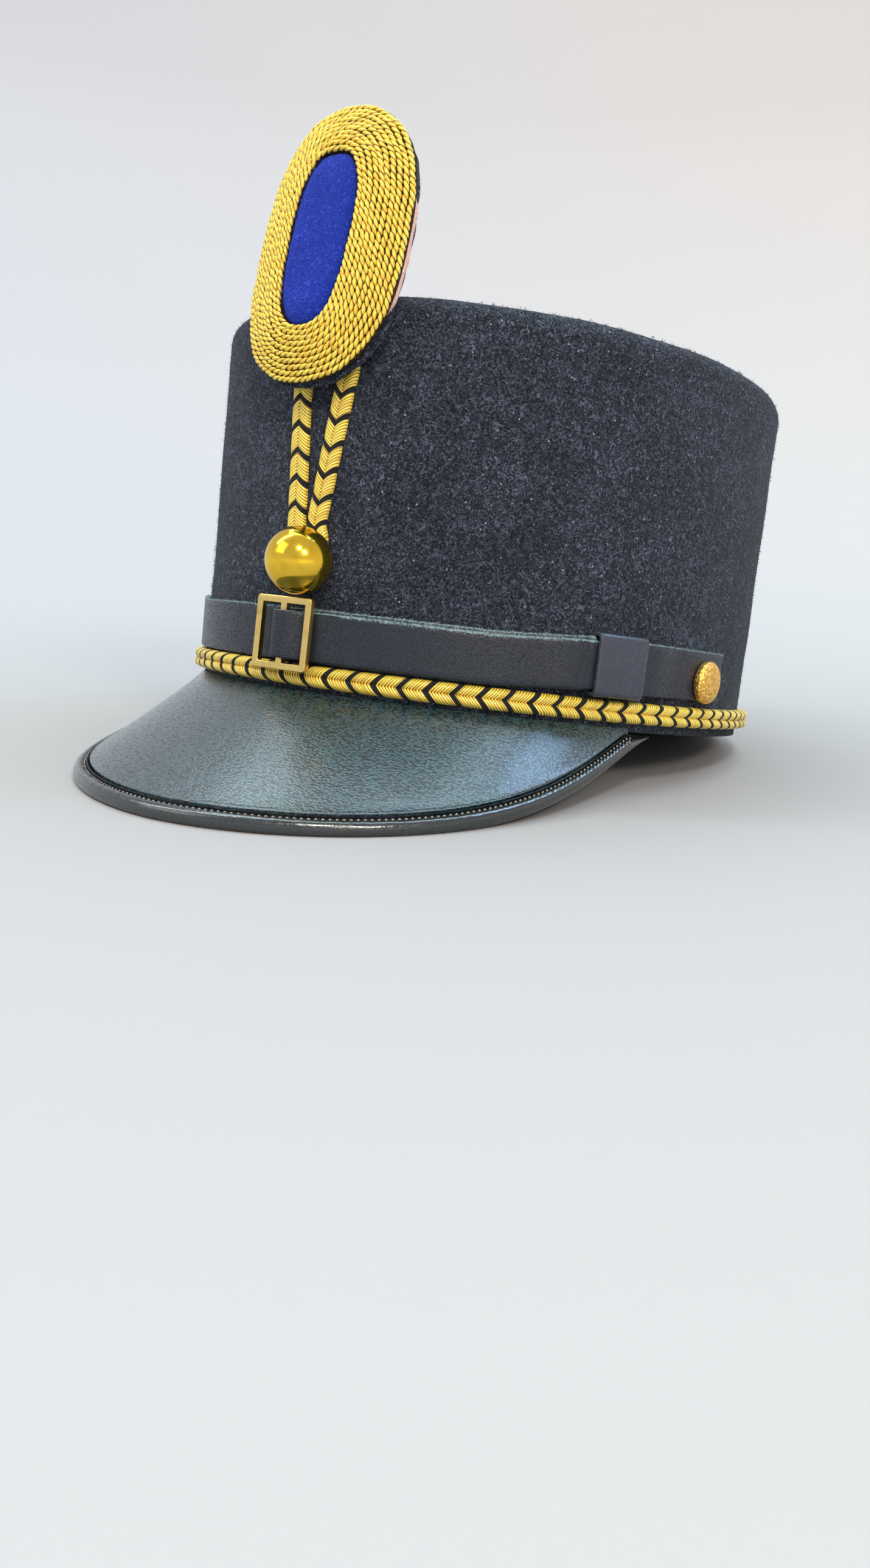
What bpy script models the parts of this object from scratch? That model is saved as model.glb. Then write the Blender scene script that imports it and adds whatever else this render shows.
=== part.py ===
"""A kepi: a felt dress cap with a leather peak, gold braid, a chin strap and a tall gold cockade.

Run with: blender --background --python part.py

Lengths are in metres, angles in degrees. The front is -Y and the wearer's left is +X. The cap is
modelled upright, with its rim at Z = 0, and an empty then tips it back to the way it rests.
"""

from math import atan2, cos, degrees, hypot, pi, radians, sin, sqrt, tan

import bmesh
import bpy
from mathutils import Vector

# Clearance between touching pieces
GAP = 0.0003

# Crown: a felt oval, nearly straight, closed on top and open below
BASE_LENGTH = 0.2041
BASE_WIDTH = 0.1723
TOP_LENGTH = 0.2056
TOP_WIDTH = 0.1730
CROWN_HEIGHT = 0.1086
TOP_FORWARD = 0.0017
TOP_SLOPE = 0.012
TOP_ROUND = 0.0060
FELT = 0.0028
AROUND = 72

# Peak: a leather plate that falls away from the rim, with a rolled edge
PEAK_DEPTH = 0.0633
PEAK_END_ANGLE = 74.3
PEAK_SEAT = 0.0016
PEAK_FRONT_DROP = 29.8
PEAK_SIDE_DROP = 76.0
PEAK_FULLNESS = 1.81
PEAK_POINTEDNESS = 1.64
PEAK_THICKNESS = 0.0024
BINDING_WIDTH = 0.0055
BINDING_THICKNESS = 0.0043
BINDING_END_WIDTH = 0.0016
BINDING_SEAT = 0.0022
BINDING_PROUD = 0.0007

# Gold braid round the rim, two rounded rows
BRAID_BOTTOM = 0.0025
BRAID_WIDTH = 0.0061
BRAID_THICKNESS = 0.0034

# Chin strap, from button to button across the front
STRAP_WIDTH = 0.0146
STRAP_THICKNESS = 0.0016
STRAP_ABOVE_BRAID = 0.0005
STRAP_SIDE_RISE = 0.0017
STRAP_RISE_START = 33.0
STRAP_RISE_END = 55.0
STRAP_PAST_BUTTON = 0.0110
TONGUE_WIDTH = 0.0136
TONGUE_THICKNESS = 0.0014
TONGUE_TAIL = 0.0032
TONGUE_PAST_KEEPER_MIDDLE = 0.0055

# Brass slide buckle
BUCKLE_WIDTH = 0.0190
BUCKLE_HEIGHT = 0.0202
BUCKLE_BAR = 0.0020
BUCKLE_DEPTH = 0.0021
BUCKLE_ANGLE = -1.3
BUCKLE_BEVEL = 0.00022

# Leather keeper round both layers of the strap
KEEPER_ANGLE = 57.2
KEEPER_LENGTH = 0.0156
KEEPER_THICKNESS = 0.0012
KEEPER_LIFT_FULL = 0.0133
KEEPER_LIFT_END = 0.0250

# Buttons
SIDE_BUTTON_ANGLE = 80.0
SIDE_BUTTON_DIAMETER = 0.0127
SIDE_BUTTON_HEIGHT = 0.0036
SIDE_BUTTON_EDGE = 0.0013
SIDE_BUTTON_BACK_DIAMETER = 0.0122
SIDE_BUTTON_DROP = 0.0016
BALL_DIAMETER = 0.0185
BALL_DEPTH = 0.0135
BALL_ABOVE_BUCKLE = 0.0006
BALL_OFF_CENTER = 0.0020
SHANK_DIAMETER = 0.0022

# Braid loop that hangs behind the cockade and round the ball button's shank
LOOP_WIDTH = 0.0060
LOOP_THICKNESS = 0.0019
LOOP_SHANK_WIDTH = 0.0036
LOOP_TOP = 0.0980
LOOP_SPREAD = 0.0083

# Cockade: a blue felt field in a domed ring of gold cord, on two felt plies
FIELD_WIDTH = 0.0197
FIELD_LENGTH = 0.0475
FIELD_SQUARENESS = 2.75
RING_WIDTH = 0.0142
RING_RISE = 0.0037
RING_EDGE = 0.0013
RING_FULLNESS = 1.7
FIELD_RISE = 0.0006
PLY_THICKNESS = 0.0012
PLY_PROUD = 0.0001
BACKING_THICKNESS = 0.0013
BACKING_PROUD = 0.0001
COCKADE_BEND = 0.1015
COCKADE_LEAN = 10.0
COCKADE_ABOVE_TOP = 0.0100
COCKADE_OFF_CENTER = -0.0017
COCKADE_AROUND = 56
COCKADE_EVENING = 0.20

# Hidden stud that carries the cockade through the felt
STUD_DIAMETER = 0.0024
STUD_FLANGE = 0.0066
STUD_FLANGE_THICKNESS = 0.0008
STUD_BELOW_TOP = 0.0170
STUD_HOLE_CLEARANCE = 0.0004

# How far felt and leather are pressed flat where the cap rests
PRESSED = 0.0004

# sRGB colours
NAVY_FELT = "#26282E"
BLACK_LEATHER = "#1B1E21"
STRAP_LEATHER = "#24262B"
GOLD_BRAID = "#D9B243"
BRASS = "#C9A54C"
POLISHED_BRASS = "#D6A93A"
BLUE_FELT = "#2336A6"
SALMON_FELT = "#E79A86"

# Braid section: across as a share of its width, proud as a share of its thickness
BRAID_SECTION = (
    # across, proud
    (-0.50, 0.00),
    (-0.50, 0.50),
    (-0.26, 1.00),
    (0.00, 0.70),
    (0.26, 1.00),
    (0.50, 0.50),
    (0.50, 0.00),
)

# Loop legs: height as a share of the way from the shank to the loop's top, and how far each leg's
# middle line stands from the shank as a share of the spread
LOOP_LEGS = (
    # height, left, right
    (0.10, 0.18, 0.66),
    (0.17, 0.05, 0.77),
    (0.30, 0.17, 0.83),
    (0.50, 0.37, 0.92),
    (0.72, 0.60, 1.01),
    (0.88, 0.75, 0.98),
    (0.98, 0.52, 0.62),
)

# Tongue of the strap over the buckle's middle bar: distance from the bar as a share of the
# buckle's half width, and depth as a share of the way from the bar's front to the strap
TONGUE_FALL = (
    # along, fall
    (0.16, 0.06),
    (0.34, 0.32),
    (0.52, 0.66),
    (0.68, 0.90),
    (0.86, 1.00),
)


def linear(srgb):
    """The linear RGBA of an sRGB hex colour."""
    levels = [int(srgb[i : i + 2], 16) / 255 for i in (1, 3, 5)]
    return [v / 12.92 if v <= 0.04045 else ((v + 0.055) / 1.055) ** 2.4 for v in levels] + [1.0]


def material(name, color, roughness, metallic=0.0):
    made = bpy.data.materials.new(name)
    made.use_nodes = True
    made.diffuse_color = linear(color)
    shader = made.node_tree.nodes["Principled BSDF"]
    shader.inputs["Base Color"].default_value = linear(color)
    shader.inputs["Roughness"].default_value = roughness
    shader.inputs["Metallic"].default_value = metallic
    return made


def collection(name, hidden=False):
    made = bpy.data.collections.new(name)
    made.hide_render = hidden
    bpy.context.scene.collection.children.link(made)
    return made


def smoothstep(low, high, value):
    t = min(max((value - low) / (high - low), 0.0), 1.0)
    return t * t * (3 - 2 * t)


def between(low, high, share):
    return low + (high - low) * share


def spline(rows, share):
    """A smooth curve through the rows, each a tuple of numbers, read at a share of its length."""
    place = min(max(share, 0.0), 1.0) * (len(rows) - 1)
    i = min(int(place), len(rows) - 2)
    t = place - i
    before, after = rows[max(i - 1, 0)], rows[min(i + 2, len(rows) - 1)]
    return tuple(
        0.5 * (2 * b + (c - a) * t + (2 * a - 5 * b + 4 * c - d) * t**2 + (3 * b - a - 3 * c + d) * t**3)
        for a, b, c, d in zip(before, rows[i], rows[i + 1], after)
    )


def on_wall(angle, height, proud=0.0):
    """A point of the crown's wall: angle from the front, height above the rim, distance out."""
    rise = height / CROWN_HEIGHT
    half_length = between(BASE_LENGTH, TOP_LENGTH, rise) / 2 + proud
    half_width = between(BASE_WIDTH, TOP_WIDTH, rise) / 2 + proud
    y = -half_length * cos(radians(angle)) - TOP_FORWARD * rise
    return Vector((half_width * sin(radians(angle)), y, height * (1 + TOP_SLOPE * y / BASE_LENGTH)))


def out_of_wall(angle):
    """The wall's outward direction at an angle."""
    x, y = sin(radians(angle)) * BASE_LENGTH, -cos(radians(angle)) * BASE_WIDTH
    return Vector((x, y, 0)).normalized()


def wall_speed(angle):
    """Metres along the wall for each degree of angle."""
    return radians(hypot(BASE_WIDTH * cos(radians(angle)), BASE_LENGTH * sin(radians(angle))) / 2)


def front_angle(along):
    """The angle of a point that lies this far from the front's middle line."""
    return along / wall_speed(0)


def surface(across, along, place):
    """A mesh made from a grid whose corners are moved to place(u, v), u and v from 0 to 1."""
    mesh = bmesh.new()
    bmesh.ops.create_grid(mesh, x_segments=across, y_segments=along, size=0.5)
    for vert in mesh.verts:
        vert.co = place(vert.co.x + 0.5, vert.co.y + 0.5)
    bmesh.ops.remove_doubles(mesh, verts=mesh.verts, dist=1e-7)
    bmesh.ops.recalc_face_normals(mesh, faces=mesh.faces)
    return mesh


def close_ends(mesh):
    """Fills each open loop with one face."""
    bmesh.ops.holes_fill(mesh, edges=mesh.edges, sides=0)
    bmesh.ops.recalc_face_normals(mesh, faces=mesh.faces)


def face_out(mesh, direction_at):
    """Turns an open surface so that its faces look along direction_at(centre)."""
    total = sum(face.normal.dot(direction_at(face.calc_center_median())) for face in mesh.faces)
    if total < 0:
        bmesh.ops.reverse_faces(mesh, faces=mesh.faces)


def add(name, mesh, finish, parent, into, sharp=35):
    """An object from a finished bmesh, shaded smooth, hung on its parent."""
    data = bpy.data.meshes.new(name)
    mesh.to_mesh(data)
    mesh.free()
    data.shade_smooth()
    data.set_sharp_from_angle(angle=radians(sharp))
    made = bpy.data.objects.new(name, data)
    made.data.materials.append(finish)
    made.parent = parent
    into.objects.link(made)
    return made


def thicken(piece, thickness, side):
    """Gives an open surface its thickness, on the side that its faces look to or away from."""
    shell = piece.modifiers.new("Thickness", "SOLIDIFY")
    shell.thickness = thickness
    shell.offset = side
    shell.use_even_offset = True


def cut(piece, cutter):
    boolean = piece.modifiers.new("Cut " + cutter.name, "BOOLEAN")
    boolean.operation = "DIFFERENCE"
    boolean.object = cutter


def as_cutter(piece):
    piece.hide_render = True
    piece.display_type = "WIRE"
    return piece


def turned(name, profile, finish, parent, into, steps=24):
    """A turned piece about its own Z, from a profile that runs down its outer side."""
    mesh = bmesh.new()
    verts = [mesh.verts.new((radius, 0, height)) for radius, height in profile]
    for first, second in zip(verts, verts[1:]):
        mesh.edges.new((first, second))
    piece = add(name, mesh, finish, parent, into)
    screw = piece.modifiers.new("Turn", "SCREW")
    screw.steps = screw.render_steps = steps
    screw.use_merge_vertices = True
    screw.merge_threshold = 1e-5
    return piece


def seat_on_wall(piece, angle, height, proud):
    """Puts a turned piece on the wall with its axis pointing straight out."""
    piece.location = on_wall(angle, height, proud)
    piece.rotation_euler = out_of_wall(angle).to_track_quat("Z", "Y").to_euler()


def crown_rows():
    """(height, inset) of the crown's outer side, from the rim up and over the rounded edge."""
    straight = CROWN_HEIGHT - TOP_ROUND
    rows = [(straight * share, 0.0) for share in (0.0, 0.3, 0.65, 1.0)]
    steps = 4
    for step in range(1, steps + 1):
        turn = pi / 2 * step / steps
        rows.append((straight + TOP_ROUND * sin(turn), TOP_ROUND * (1 - cos(turn))))
    return rows


def make_crown(finish, parent, into):
    rows = crown_rows()

    def place(u, v):
        height, inset = rows[round(v * (len(rows) - 1))]
        return on_wall(-180 + 360 * u, height, -inset)

    mesh = surface(AROUND, len(rows) - 1, place)
    top = [edge for edge in mesh.edges if edge.is_boundary and edge.verts[0].co.z > CROWN_HEIGHT / 2]
    disc = bmesh.ops.edgeloop_fill(mesh, edges=top)["faces"]
    bmesh.ops.inset_individual(mesh, faces=disc, thickness=BASE_WIDTH / 6)
    face_out(mesh, lambda point: Vector((point.x, point.y, point.z - CROWN_HEIGHT / 2)))
    piece = add("crown", mesh, finish, parent, into)
    thicken(piece, FELT, -1)
    return piece


def peak_depth(angle):
    """How far the peak reaches from the wall at an angle, measured down its slope."""
    share = min(abs(angle) / PEAK_END_ANGLE, 1.0)
    return PEAK_DEPTH * (1 - share**PEAK_FULLNESS) ** PEAK_POINTEDNESS


def peak_angle(depth):
    """The angle at which the peak is this deep."""
    share = (1 - (depth / PEAK_DEPTH) ** (1 / PEAK_POINTEDNESS)) ** (1 / PEAK_FULLNESS)
    return PEAK_END_ANGLE * share


def peak_slope(angle):
    share = angle / PEAK_END_ANGLE
    return radians(between(PEAK_FRONT_DROP, PEAK_SIDE_DROP, share * share))


def on_peak(angle, down, lift=0.0):
    """A point of the peak's upper side: down its slope from the wall, and lifted off it."""
    slope = peak_slope(angle)
    out = down * cos(slope) + lift * sin(slope)
    drop = down * sin(slope) - lift * cos(slope)
    return on_wall(angle, PEAK_SEAT) + out_of_wall(angle) * out - Vector((0, 0, drop))


def make_peak(finish, parent, into):
    """The plate: square to its slope where the rolled edge starts, upright against the felt."""
    end = peak_angle(BINDING_WIDTH + BINDING_END_WIDTH)
    steps = 5
    rows = [(step / steps, 0.0) for step in range(steps + 1)]
    rows += [(share, -PEAK_THICKNESS) for share, _ in reversed(rows)]
    rows.append(rows[0])

    def place(u, v):
        angle = end * sin(pi * (u - 0.5))
        share, lift = rows[round(v * (len(rows) - 1))]
        inner = GAP / cos(peak_slope(angle)) - lift * tan(peak_slope(angle))
        outer = peak_depth(angle) - BINDING_WIDTH - GAP
        return on_peak(angle, between(inner, outer, share), lift)

    mesh = surface(36, len(rows) - 1, place)
    close_ends(mesh)
    return add("peak", mesh, finish, parent, into)


def binding_section(angle):
    """(middle, width) of the rolled edge at an angle: it narrows where it runs under the rim."""
    depth = peak_depth(angle)
    width = min(BINDING_WIDTH, depth - BINDING_SEAT)
    return depth - width / 2, width


def make_binding(finish, parent, into):
    end = peak_angle(BINDING_SEAT + BINDING_END_WIDTH)

    def place(u, v):
        angle = end * sin(pi * (u - 0.5))
        middle, width = binding_section(angle)
        thickness = BINDING_THICKNESS * width / BINDING_WIDTH
        turn = 2 * pi * v
        lift = BINDING_PROUD - BINDING_THICKNESS / 2 + thickness / 2 * sin(turn)
        return on_peak(angle, middle + width / 2 * cos(turn), lift)

    mesh = surface(44, 10, place)
    close_ends(mesh)
    return add("peak_binding", mesh, finish, parent, into)


def make_band_braid(finish, parent, into):
    rows = BRAID_SECTION + BRAID_SECTION[:1]

    def place(u, v):
        across, proud = rows[round(v * (len(rows) - 1))]
        height = BRAID_BOTTOM + BRAID_WIDTH * (0.5 + across)
        return on_wall(-180 + 360 * u, height, GAP + BRAID_THICKNESS * proud)

    return add("band_braid", surface(AROUND, len(rows) - 1, place), finish, parent, into)


def strap_middle(angle):
    """Height of the strap's middle line, which rises towards the side buttons."""
    bottom = BRAID_BOTTOM + BRAID_WIDTH + STRAP_ABOVE_BRAID
    rise = smoothstep(STRAP_RISE_START, STRAP_RISE_END, abs(angle))
    return bottom + STRAP_WIDTH / 2 + STRAP_SIDE_RISE * rise


def strap_proud(angle):
    """Distance from the wall to the strap's back: the keeper's inner side lifts it."""
    along = abs(angle - KEEPER_ANGLE) * wall_speed(KEEPER_ANGLE)
    near = 1 - smoothstep(KEEPER_LIFT_FULL, KEEPER_LIFT_END, along)
    return GAP + (KEEPER_THICKNESS + GAP) * near


def strap_end():
    return SIDE_BUTTON_ANGLE + STRAP_PAST_BUTTON / wall_speed(SIDE_BUTTON_ANGLE)


def make_strap(finish, parent, into):
    end = strap_end()

    def place(u, v):
        angle = end * (2 * u - 1)
        height = strap_middle(angle) + STRAP_WIDTH * (v - 0.5)
        return on_wall(angle, height, strap_proud(angle))

    mesh = surface(72, 1, place)
    face_out(mesh, lambda point: Vector((point.x, point.y, 0)))
    piece = add("chin_strap", mesh, finish, parent, into)
    thicken(piece, STRAP_THICKNESS, 1)
    return piece


def buckle_back():
    """Distance from the wall to the buckle's back, which stands clear of the braid."""
    return GAP + BRAID_THICKNESS + 2 * GAP


def tongue_rest(angle):
    """Distance from the wall to the middle of the tongue's leather where it lies on the strap."""
    return strap_proud(angle) + STRAP_THICKNESS + GAP + TONGUE_THICKNESS / 2


def tongue_path():
    """(angle, proud) of the tongue's middle line: in behind the bar, round it and on to the keeper."""
    bar = buckle_back() + BUCKLE_DEPTH / 2
    radius = max(BUCKLE_BAR, BUCKLE_DEPTH) / 2 * sqrt(2) + GAP + TONGUE_THICKNESS / 2
    start = BUCKLE_ANGLE
    path = [(start + front_angle(TONGUE_TAIL), bar - radius)]
    steps = 8
    for step in range(steps + 1):
        turn = -pi / 2 - pi * step / steps
        path.append((start + front_angle(radius * cos(turn)), bar + radius * sin(turn)))
    for along, fall in TONGUE_FALL:
        angle = start + front_angle(BUCKLE_WIDTH / 2 * along)
        path.append((angle, between(bar + radius, tongue_rest(angle) + GAP, fall)))
    first = path[-1][0]
    last = KEEPER_ANGLE + TONGUE_PAST_KEEPER_MIDDLE / wall_speed(KEEPER_ANGLE)
    count = 20
    for step in range(1, count + 1):
        angle = between(first, last, step / count)
        path.append((angle, tongue_rest(angle)))
    return path


def make_tongue(finish, parent, into):
    path = tongue_path()

    def place(u, v):
        angle, proud = path[round(u * (len(path) - 1))]
        return on_wall(angle, strap_middle(angle) + TONGUE_WIDTH * (v - 0.5), proud)

    mesh = surface(len(path) - 1, 1, place)
    piece = add("strap_tongue", mesh, finish, parent, into)
    thicken(piece, TONGUE_THICKNESS, 0)
    return piece


def box(name, size, into, parent, finish):
    mesh = bmesh.new()
    bmesh.ops.create_cube(mesh, size=1)
    bmesh.ops.scale(mesh, vec=size, verts=mesh.verts)
    return add(name, mesh, finish, parent, into)


def make_buckle(finish, parent, into, cutters):
    """A flat frame with a middle bar: a plate with two windows cut through it."""
    frame = box("buckle", (BUCKLE_WIDTH, BUCKLE_HEIGHT, BUCKLE_DEPTH), into, parent, finish)
    seat_on_wall(frame, BUCKLE_ANGLE, strap_middle(BUCKLE_ANGLE), buckle_back() + BUCKLE_DEPTH / 2)
    window = ((BUCKLE_WIDTH - 3 * BUCKLE_BAR) / 2, BUCKLE_HEIGHT - 2 * BUCKLE_BAR, 3 * BUCKLE_DEPTH)
    for side in (-1, 1):
        hole = as_cutter(box("buckle_window", window, cutters, frame, finish))
        hole.location.x = side * (window[0] + BUCKLE_BAR) / 2
        cut(frame, hole)
    edges = frame.modifiers.new("Edges", "BEVEL")
    edges.width = BUCKLE_BEVEL
    edges.segments = 1
    return frame


def make_keeper(finish, parent, into):
    """A leather sleeve round the strap and its tongue."""
    half = KEEPER_LENGTH / 2 / wall_speed(KEEPER_ANGLE)
    low = STRAP_WIDTH / 2 + GAP
    inner = strap_proud(KEEPER_ANGLE) - GAP
    outer = tongue_rest(KEEPER_ANGLE) + TONGUE_THICKNESS / 2 + GAP
    soft = GAP
    # Corners of the sleeve's opening: across the strap, and out from the wall
    section = [
        (-low, inner + soft),
        (-low, outer - soft),
        (soft - low, outer),
        (low - soft, outer),
        (low, outer - soft),
        (low, inner + soft),
        (low - soft, inner),
        (soft - low, inner),
    ]
    section.append(section[0])

    def place(u, v):
        across, proud = section[round(v * (len(section) - 1))]
        angle = KEEPER_ANGLE + half * (2 * u - 1)
        return on_wall(angle, strap_middle(KEEPER_ANGLE) + across, proud)

    mesh = surface(4, len(section) - 1, place)
    centre = on_wall(KEEPER_ANGLE, strap_middle(KEEPER_ANGLE), (inner + outer) / 2)
    face_out(mesh, lambda point: point - centre)
    piece = add("strap_keeper", mesh, finish, parent, into)
    thicken(piece, KEEPER_THICKNESS, 1)
    return piece


def make_side_button(side, finish, parent, into):
    """A low dome with a flat back, on the end of the strap."""
    radius, dome = SIDE_BUTTON_DIAMETER / 2, SIDE_BUTTON_HEIGHT - SIDE_BUTTON_EDGE
    steps = 4
    profile = [(0.0, SIDE_BUTTON_HEIGHT)]
    for step in range(1, steps + 1):
        turn = pi / 2 * step / steps
        profile.append((radius * sin(turn), SIDE_BUTTON_EDGE + dome * cos(turn)))
    profile += [(SIDE_BUTTON_BACK_DIAMETER / 2, 0.0), (0.0, 0.0)]
    name = "side_button_left" if side > 0 else "side_button_right"
    piece = turned(name, profile, finish, parent, into, steps=24)
    height = strap_middle(SIDE_BUTTON_ANGLE) - SIDE_BUTTON_DROP
    proud = strap_proud(SIDE_BUTTON_ANGLE) + STRAP_THICKNESS + GAP
    seat_on_wall(piece, side * SIDE_BUTTON_ANGLE, height, proud)
    return piece


def ball_height():
    top = strap_middle(BUCKLE_ANGLE) + BUCKLE_HEIGHT / 2
    return top + BALL_ABOVE_BUCKLE + BALL_DIAMETER / 2


def make_ball_button(finish, parent, into):
    """A polished ball with a flat back, on a shank that runs to the felt."""
    radius = BALL_DIAMETER / 2
    centre = BALL_DEPTH - radius
    start = pi / 2 + atan2(centre, sqrt(radius**2 - centre**2))
    steps = 9
    back = GAP + LOOP_THICKNESS
    profile = []
    for step in range(steps + 1):
        turn = start * step / steps
        profile.append((radius * sin(turn), back + centre + radius * cos(turn)))
    profile += [(SHANK_DIAMETER / 2, back), (SHANK_DIAMETER / 2, 0.0), (0.0, 0.0)]
    piece = turned("ball_button", profile, finish, parent, into, steps=28)
    seat_on_wall(piece, front_angle(BALL_OFF_CENTER), ball_height(), GAP)
    return piece


def loop_line(share):
    """(along, height, width) of the loop's middle line, once round from its lowest point.

    Right of the front's middle line, as the wearer sees it, is negative.
    """
    bottom, left = ball_height(), share <= 0.5
    turn_radius = SHANK_DIAMETER / 2 + GAP + LOOP_SHANK_WIDTH / 2
    rows = []
    for turn in (-pi / 2, -pi / 4, 0.0):
        rows.append((turn_radius * cos(turn), turn_radius * sin(turn), LOOP_SHANK_WIDTH))
    for height, left_spread, right_spread in LOOP_LEGS:
        along = LOOP_SPREAD * (left_spread if left else right_spread)
        rows.append((along, height * (LOOP_TOP - bottom), LOOP_WIDTH))
    rows.append((0.0, LOOP_TOP - bottom, LOOP_WIDTH))
    along, height, width = spline(rows, 2 * share if left else 2 - 2 * share)
    return BALL_OFF_CENTER + (along if left else -along), bottom + height, width


def make_loop(finish, parent, into):
    rows = BRAID_SECTION + BRAID_SECTION[:1]
    step = 1e-4

    def place(u, v):
        across, proud = rows[round(v * (len(rows) - 1))]
        along, height, width = loop_line(u)
        ahead, behind = loop_line((u + step) % 1.0), loop_line((u - step) % 1.0)
        way = Vector((ahead[0] - behind[0], ahead[1] - behind[1])).normalized()
        along += width * across * way.y
        height -= width * across * way.x
        return on_wall(front_angle(along), height, GAP + LOOP_THICKNESS * proud)

    return add("cockade_loop", surface(48, len(rows) - 1, place), finish, parent, into)


def cockade_seat():
    """Where the cockade's back touches the loop's front, near the loop's top."""
    return on_wall(0, LOOP_TOP + LOOP_WIDTH / 2, GAP + LOOP_THICKNESS + GAP)


def on_cockade(x, up, lift):
    """A point of the cockade from its centre: across, up along it, and out from its back."""
    lean = radians(COCKADE_LEAN)
    up_way, out_way = Vector((0, sin(lean), cos(lean))), Vector((0, -cos(lean), sin(lean)))
    seat = cockade_seat()
    centre = (CROWN_HEIGHT + COCKADE_ABOVE_TOP - seat.z) / cos(lean)
    bent = x * x / (2 * COCKADE_BEND)
    across = Vector((COCKADE_OFF_CENTER + x, 0, 0))
    return seat + across + up_way * (centre + up) + out_way * (lift - bent)


def field_edge(turn, out):
    """A point of the blue field's outline, or of the line this far outside it."""
    c, s = cos(turn), sin(turn)
    power = 2 / FIELD_SQUARENESS
    x = FIELD_WIDTH / 2 * abs(c) ** power * (1 if c >= 0 else -1)
    y = FIELD_LENGTH / 2 * abs(s) ** power * (1 if s >= 0 else -1)
    way = Vector((
        abs(c) ** (2 - power) * (1 if c >= 0 else -1) / FIELD_WIDTH,
        abs(s) ** (2 - power) * (1 if s >= 0 else -1) / FIELD_LENGTH,
    )).normalized()
    return x + way.x * out, y + way.y * out


def evened(turn_share):
    """A turn for each share of the way round, spread so that the long oval bends evenly."""
    turn = 2 * pi * turn_share
    return turn + COCKADE_EVENING * sin(2 * turn)


def cockade_disc(name, rings, finish, parent, into):
    """A closed piece of the cockade from rings of (out, shrink, lift), centre to centre or all round."""

    def place(u, v):
        out, shrink, lift = rings[round(v * (len(rings) - 1))]
        x, y = field_edge(evened(u), out)
        return on_cockade(x * shrink, y * shrink, lift)

    return add(name, surface(COCKADE_AROUND, len(rings) - 1, place), finish, parent, into)


def ring_lift(out):
    """Height of the gold ring over its own base, this far outside the blue field."""
    share = min(out / RING_WIDTH, 1.0)
    return RING_EDGE + RING_RISE * (1 - share**RING_FULLNESS)


def plate_rings(edge, low, high):
    """A flat ply: out to its edge below, and back above."""
    steps = [(0, 0.0), (0, 0.5), (0, 1.0), (edge / 2, 1.0), (edge, 1.0)]
    return [(out, shrink, low) for out, shrink in steps] + [
        (out, shrink, high) for out, shrink in reversed(steps)
    ]


def make_cockade(finishes, parent, into):
    """Backing, ply, gold ring and blue field, one on the other."""
    backing = plate_rings(RING_WIDTH + BACKING_PROUD, 0.0, BACKING_THICKNESS)
    cockade_disc("cockade_backing", backing, finishes["backing"], parent, into)
    low = BACKING_THICKNESS + GAP
    ply = plate_rings(RING_WIDTH + PLY_PROUD, low, low + PLY_THICKNESS)
    cockade_disc("cockade_ply", ply, finishes["ply"], parent, into)
    base = low + PLY_THICKNESS + GAP
    shares = (0.0, 0.25, 0.5, 0.75, 0.92, 1.0)
    ring = [(RING_WIDTH * share, 1.0, base + ring_lift(RING_WIDTH * share)) for share in shares]
    ring += [(RING_WIDTH, 1.0, base), (RING_WIDTH / 2, 1.0, base), (0.0, 1.0, base)]
    ring.append(ring[0])
    cockade_disc("cockade_ring", ring, finishes["ring"], parent, into)
    edge = base + RING_EDGE + RING_RISE - 2 * GAP
    middle = edge + 2 * GAP + FIELD_RISE
    field = [(-GAP, 0.0, middle), (-GAP, 0.6, between(edge, middle, 0.8)), (-GAP, 1.0, edge)]
    field += [(-GAP, 1.0, base), (-GAP, 0.5, base), (-GAP, 0.0, base)]
    cockade_disc("cockade_field", field, finishes["field"], parent, into)


def stud_frame():
    """The stud's place behind the backing, and the cockade's own outward direction."""
    lean = radians(COCKADE_LEAN)
    seat = cockade_seat()
    up = (CROWN_HEIGHT - STUD_BELOW_TOP - seat.z) / cos(lean)
    return seat + Vector((0, sin(lean), cos(lean))) * up, Vector((0, -cos(lean), sin(lean)))


def make_stud(crown, finish, parent, into, cutters):
    """A flanged stud behind the cockade, through the felt and held by a washer inside."""
    back, out_way = stud_frame()
    lean = radians(COCKADE_LEAN)
    to_wall = on_wall(0, back.z).y - back.y
    # The washer's edge clears the wall, which the slanting stud meets at an angle
    slant = STUD_FLANGE / 2 * tan(lean) + GAP
    inner = (to_wall + FELT) / cos(lean) + GAP + slant
    radius, flange = STUD_DIAMETER / 2, STUD_FLANGE / 2
    profile = [
        (0.0, 0.0),
        (flange, 0.0),
        (flange, -STUD_FLANGE_THICKNESS),
        (radius, -STUD_FLANGE_THICKNESS),
        (radius, -inner),
        (flange, -inner),
        (flange, -inner - STUD_FLANGE_THICKNESS),
        (0.0, -inner - STUD_FLANGE_THICKNESS),
    ]
    stud = turned("cockade_stud", profile, finish, parent, into, steps=20)
    stud.location = back - out_way * GAP
    stud.rotation_euler = out_way.to_track_quat("Z", "Y").to_euler()
    mesh = bmesh.new()
    wide = radius + STUD_HOLE_CLEARANCE
    bmesh.ops.create_cone(mesh, cap_ends=True, segments=16, radius1=wide, radius2=wide, depth=6 * FELT)
    hole = as_cutter(add("stud_hole", mesh, finish, parent, cutters))
    inside = to_wall + FELT / 2
    hole.location = back + Vector((0, inside, -inside * tan(lean)))
    hole.rotation_euler = stud.rotation_euler
    cut(crown, hole)


def lowest(points, pitch):
    return min(point.y * sin(pitch) + point.z * cos(pitch) for point in points)


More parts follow.
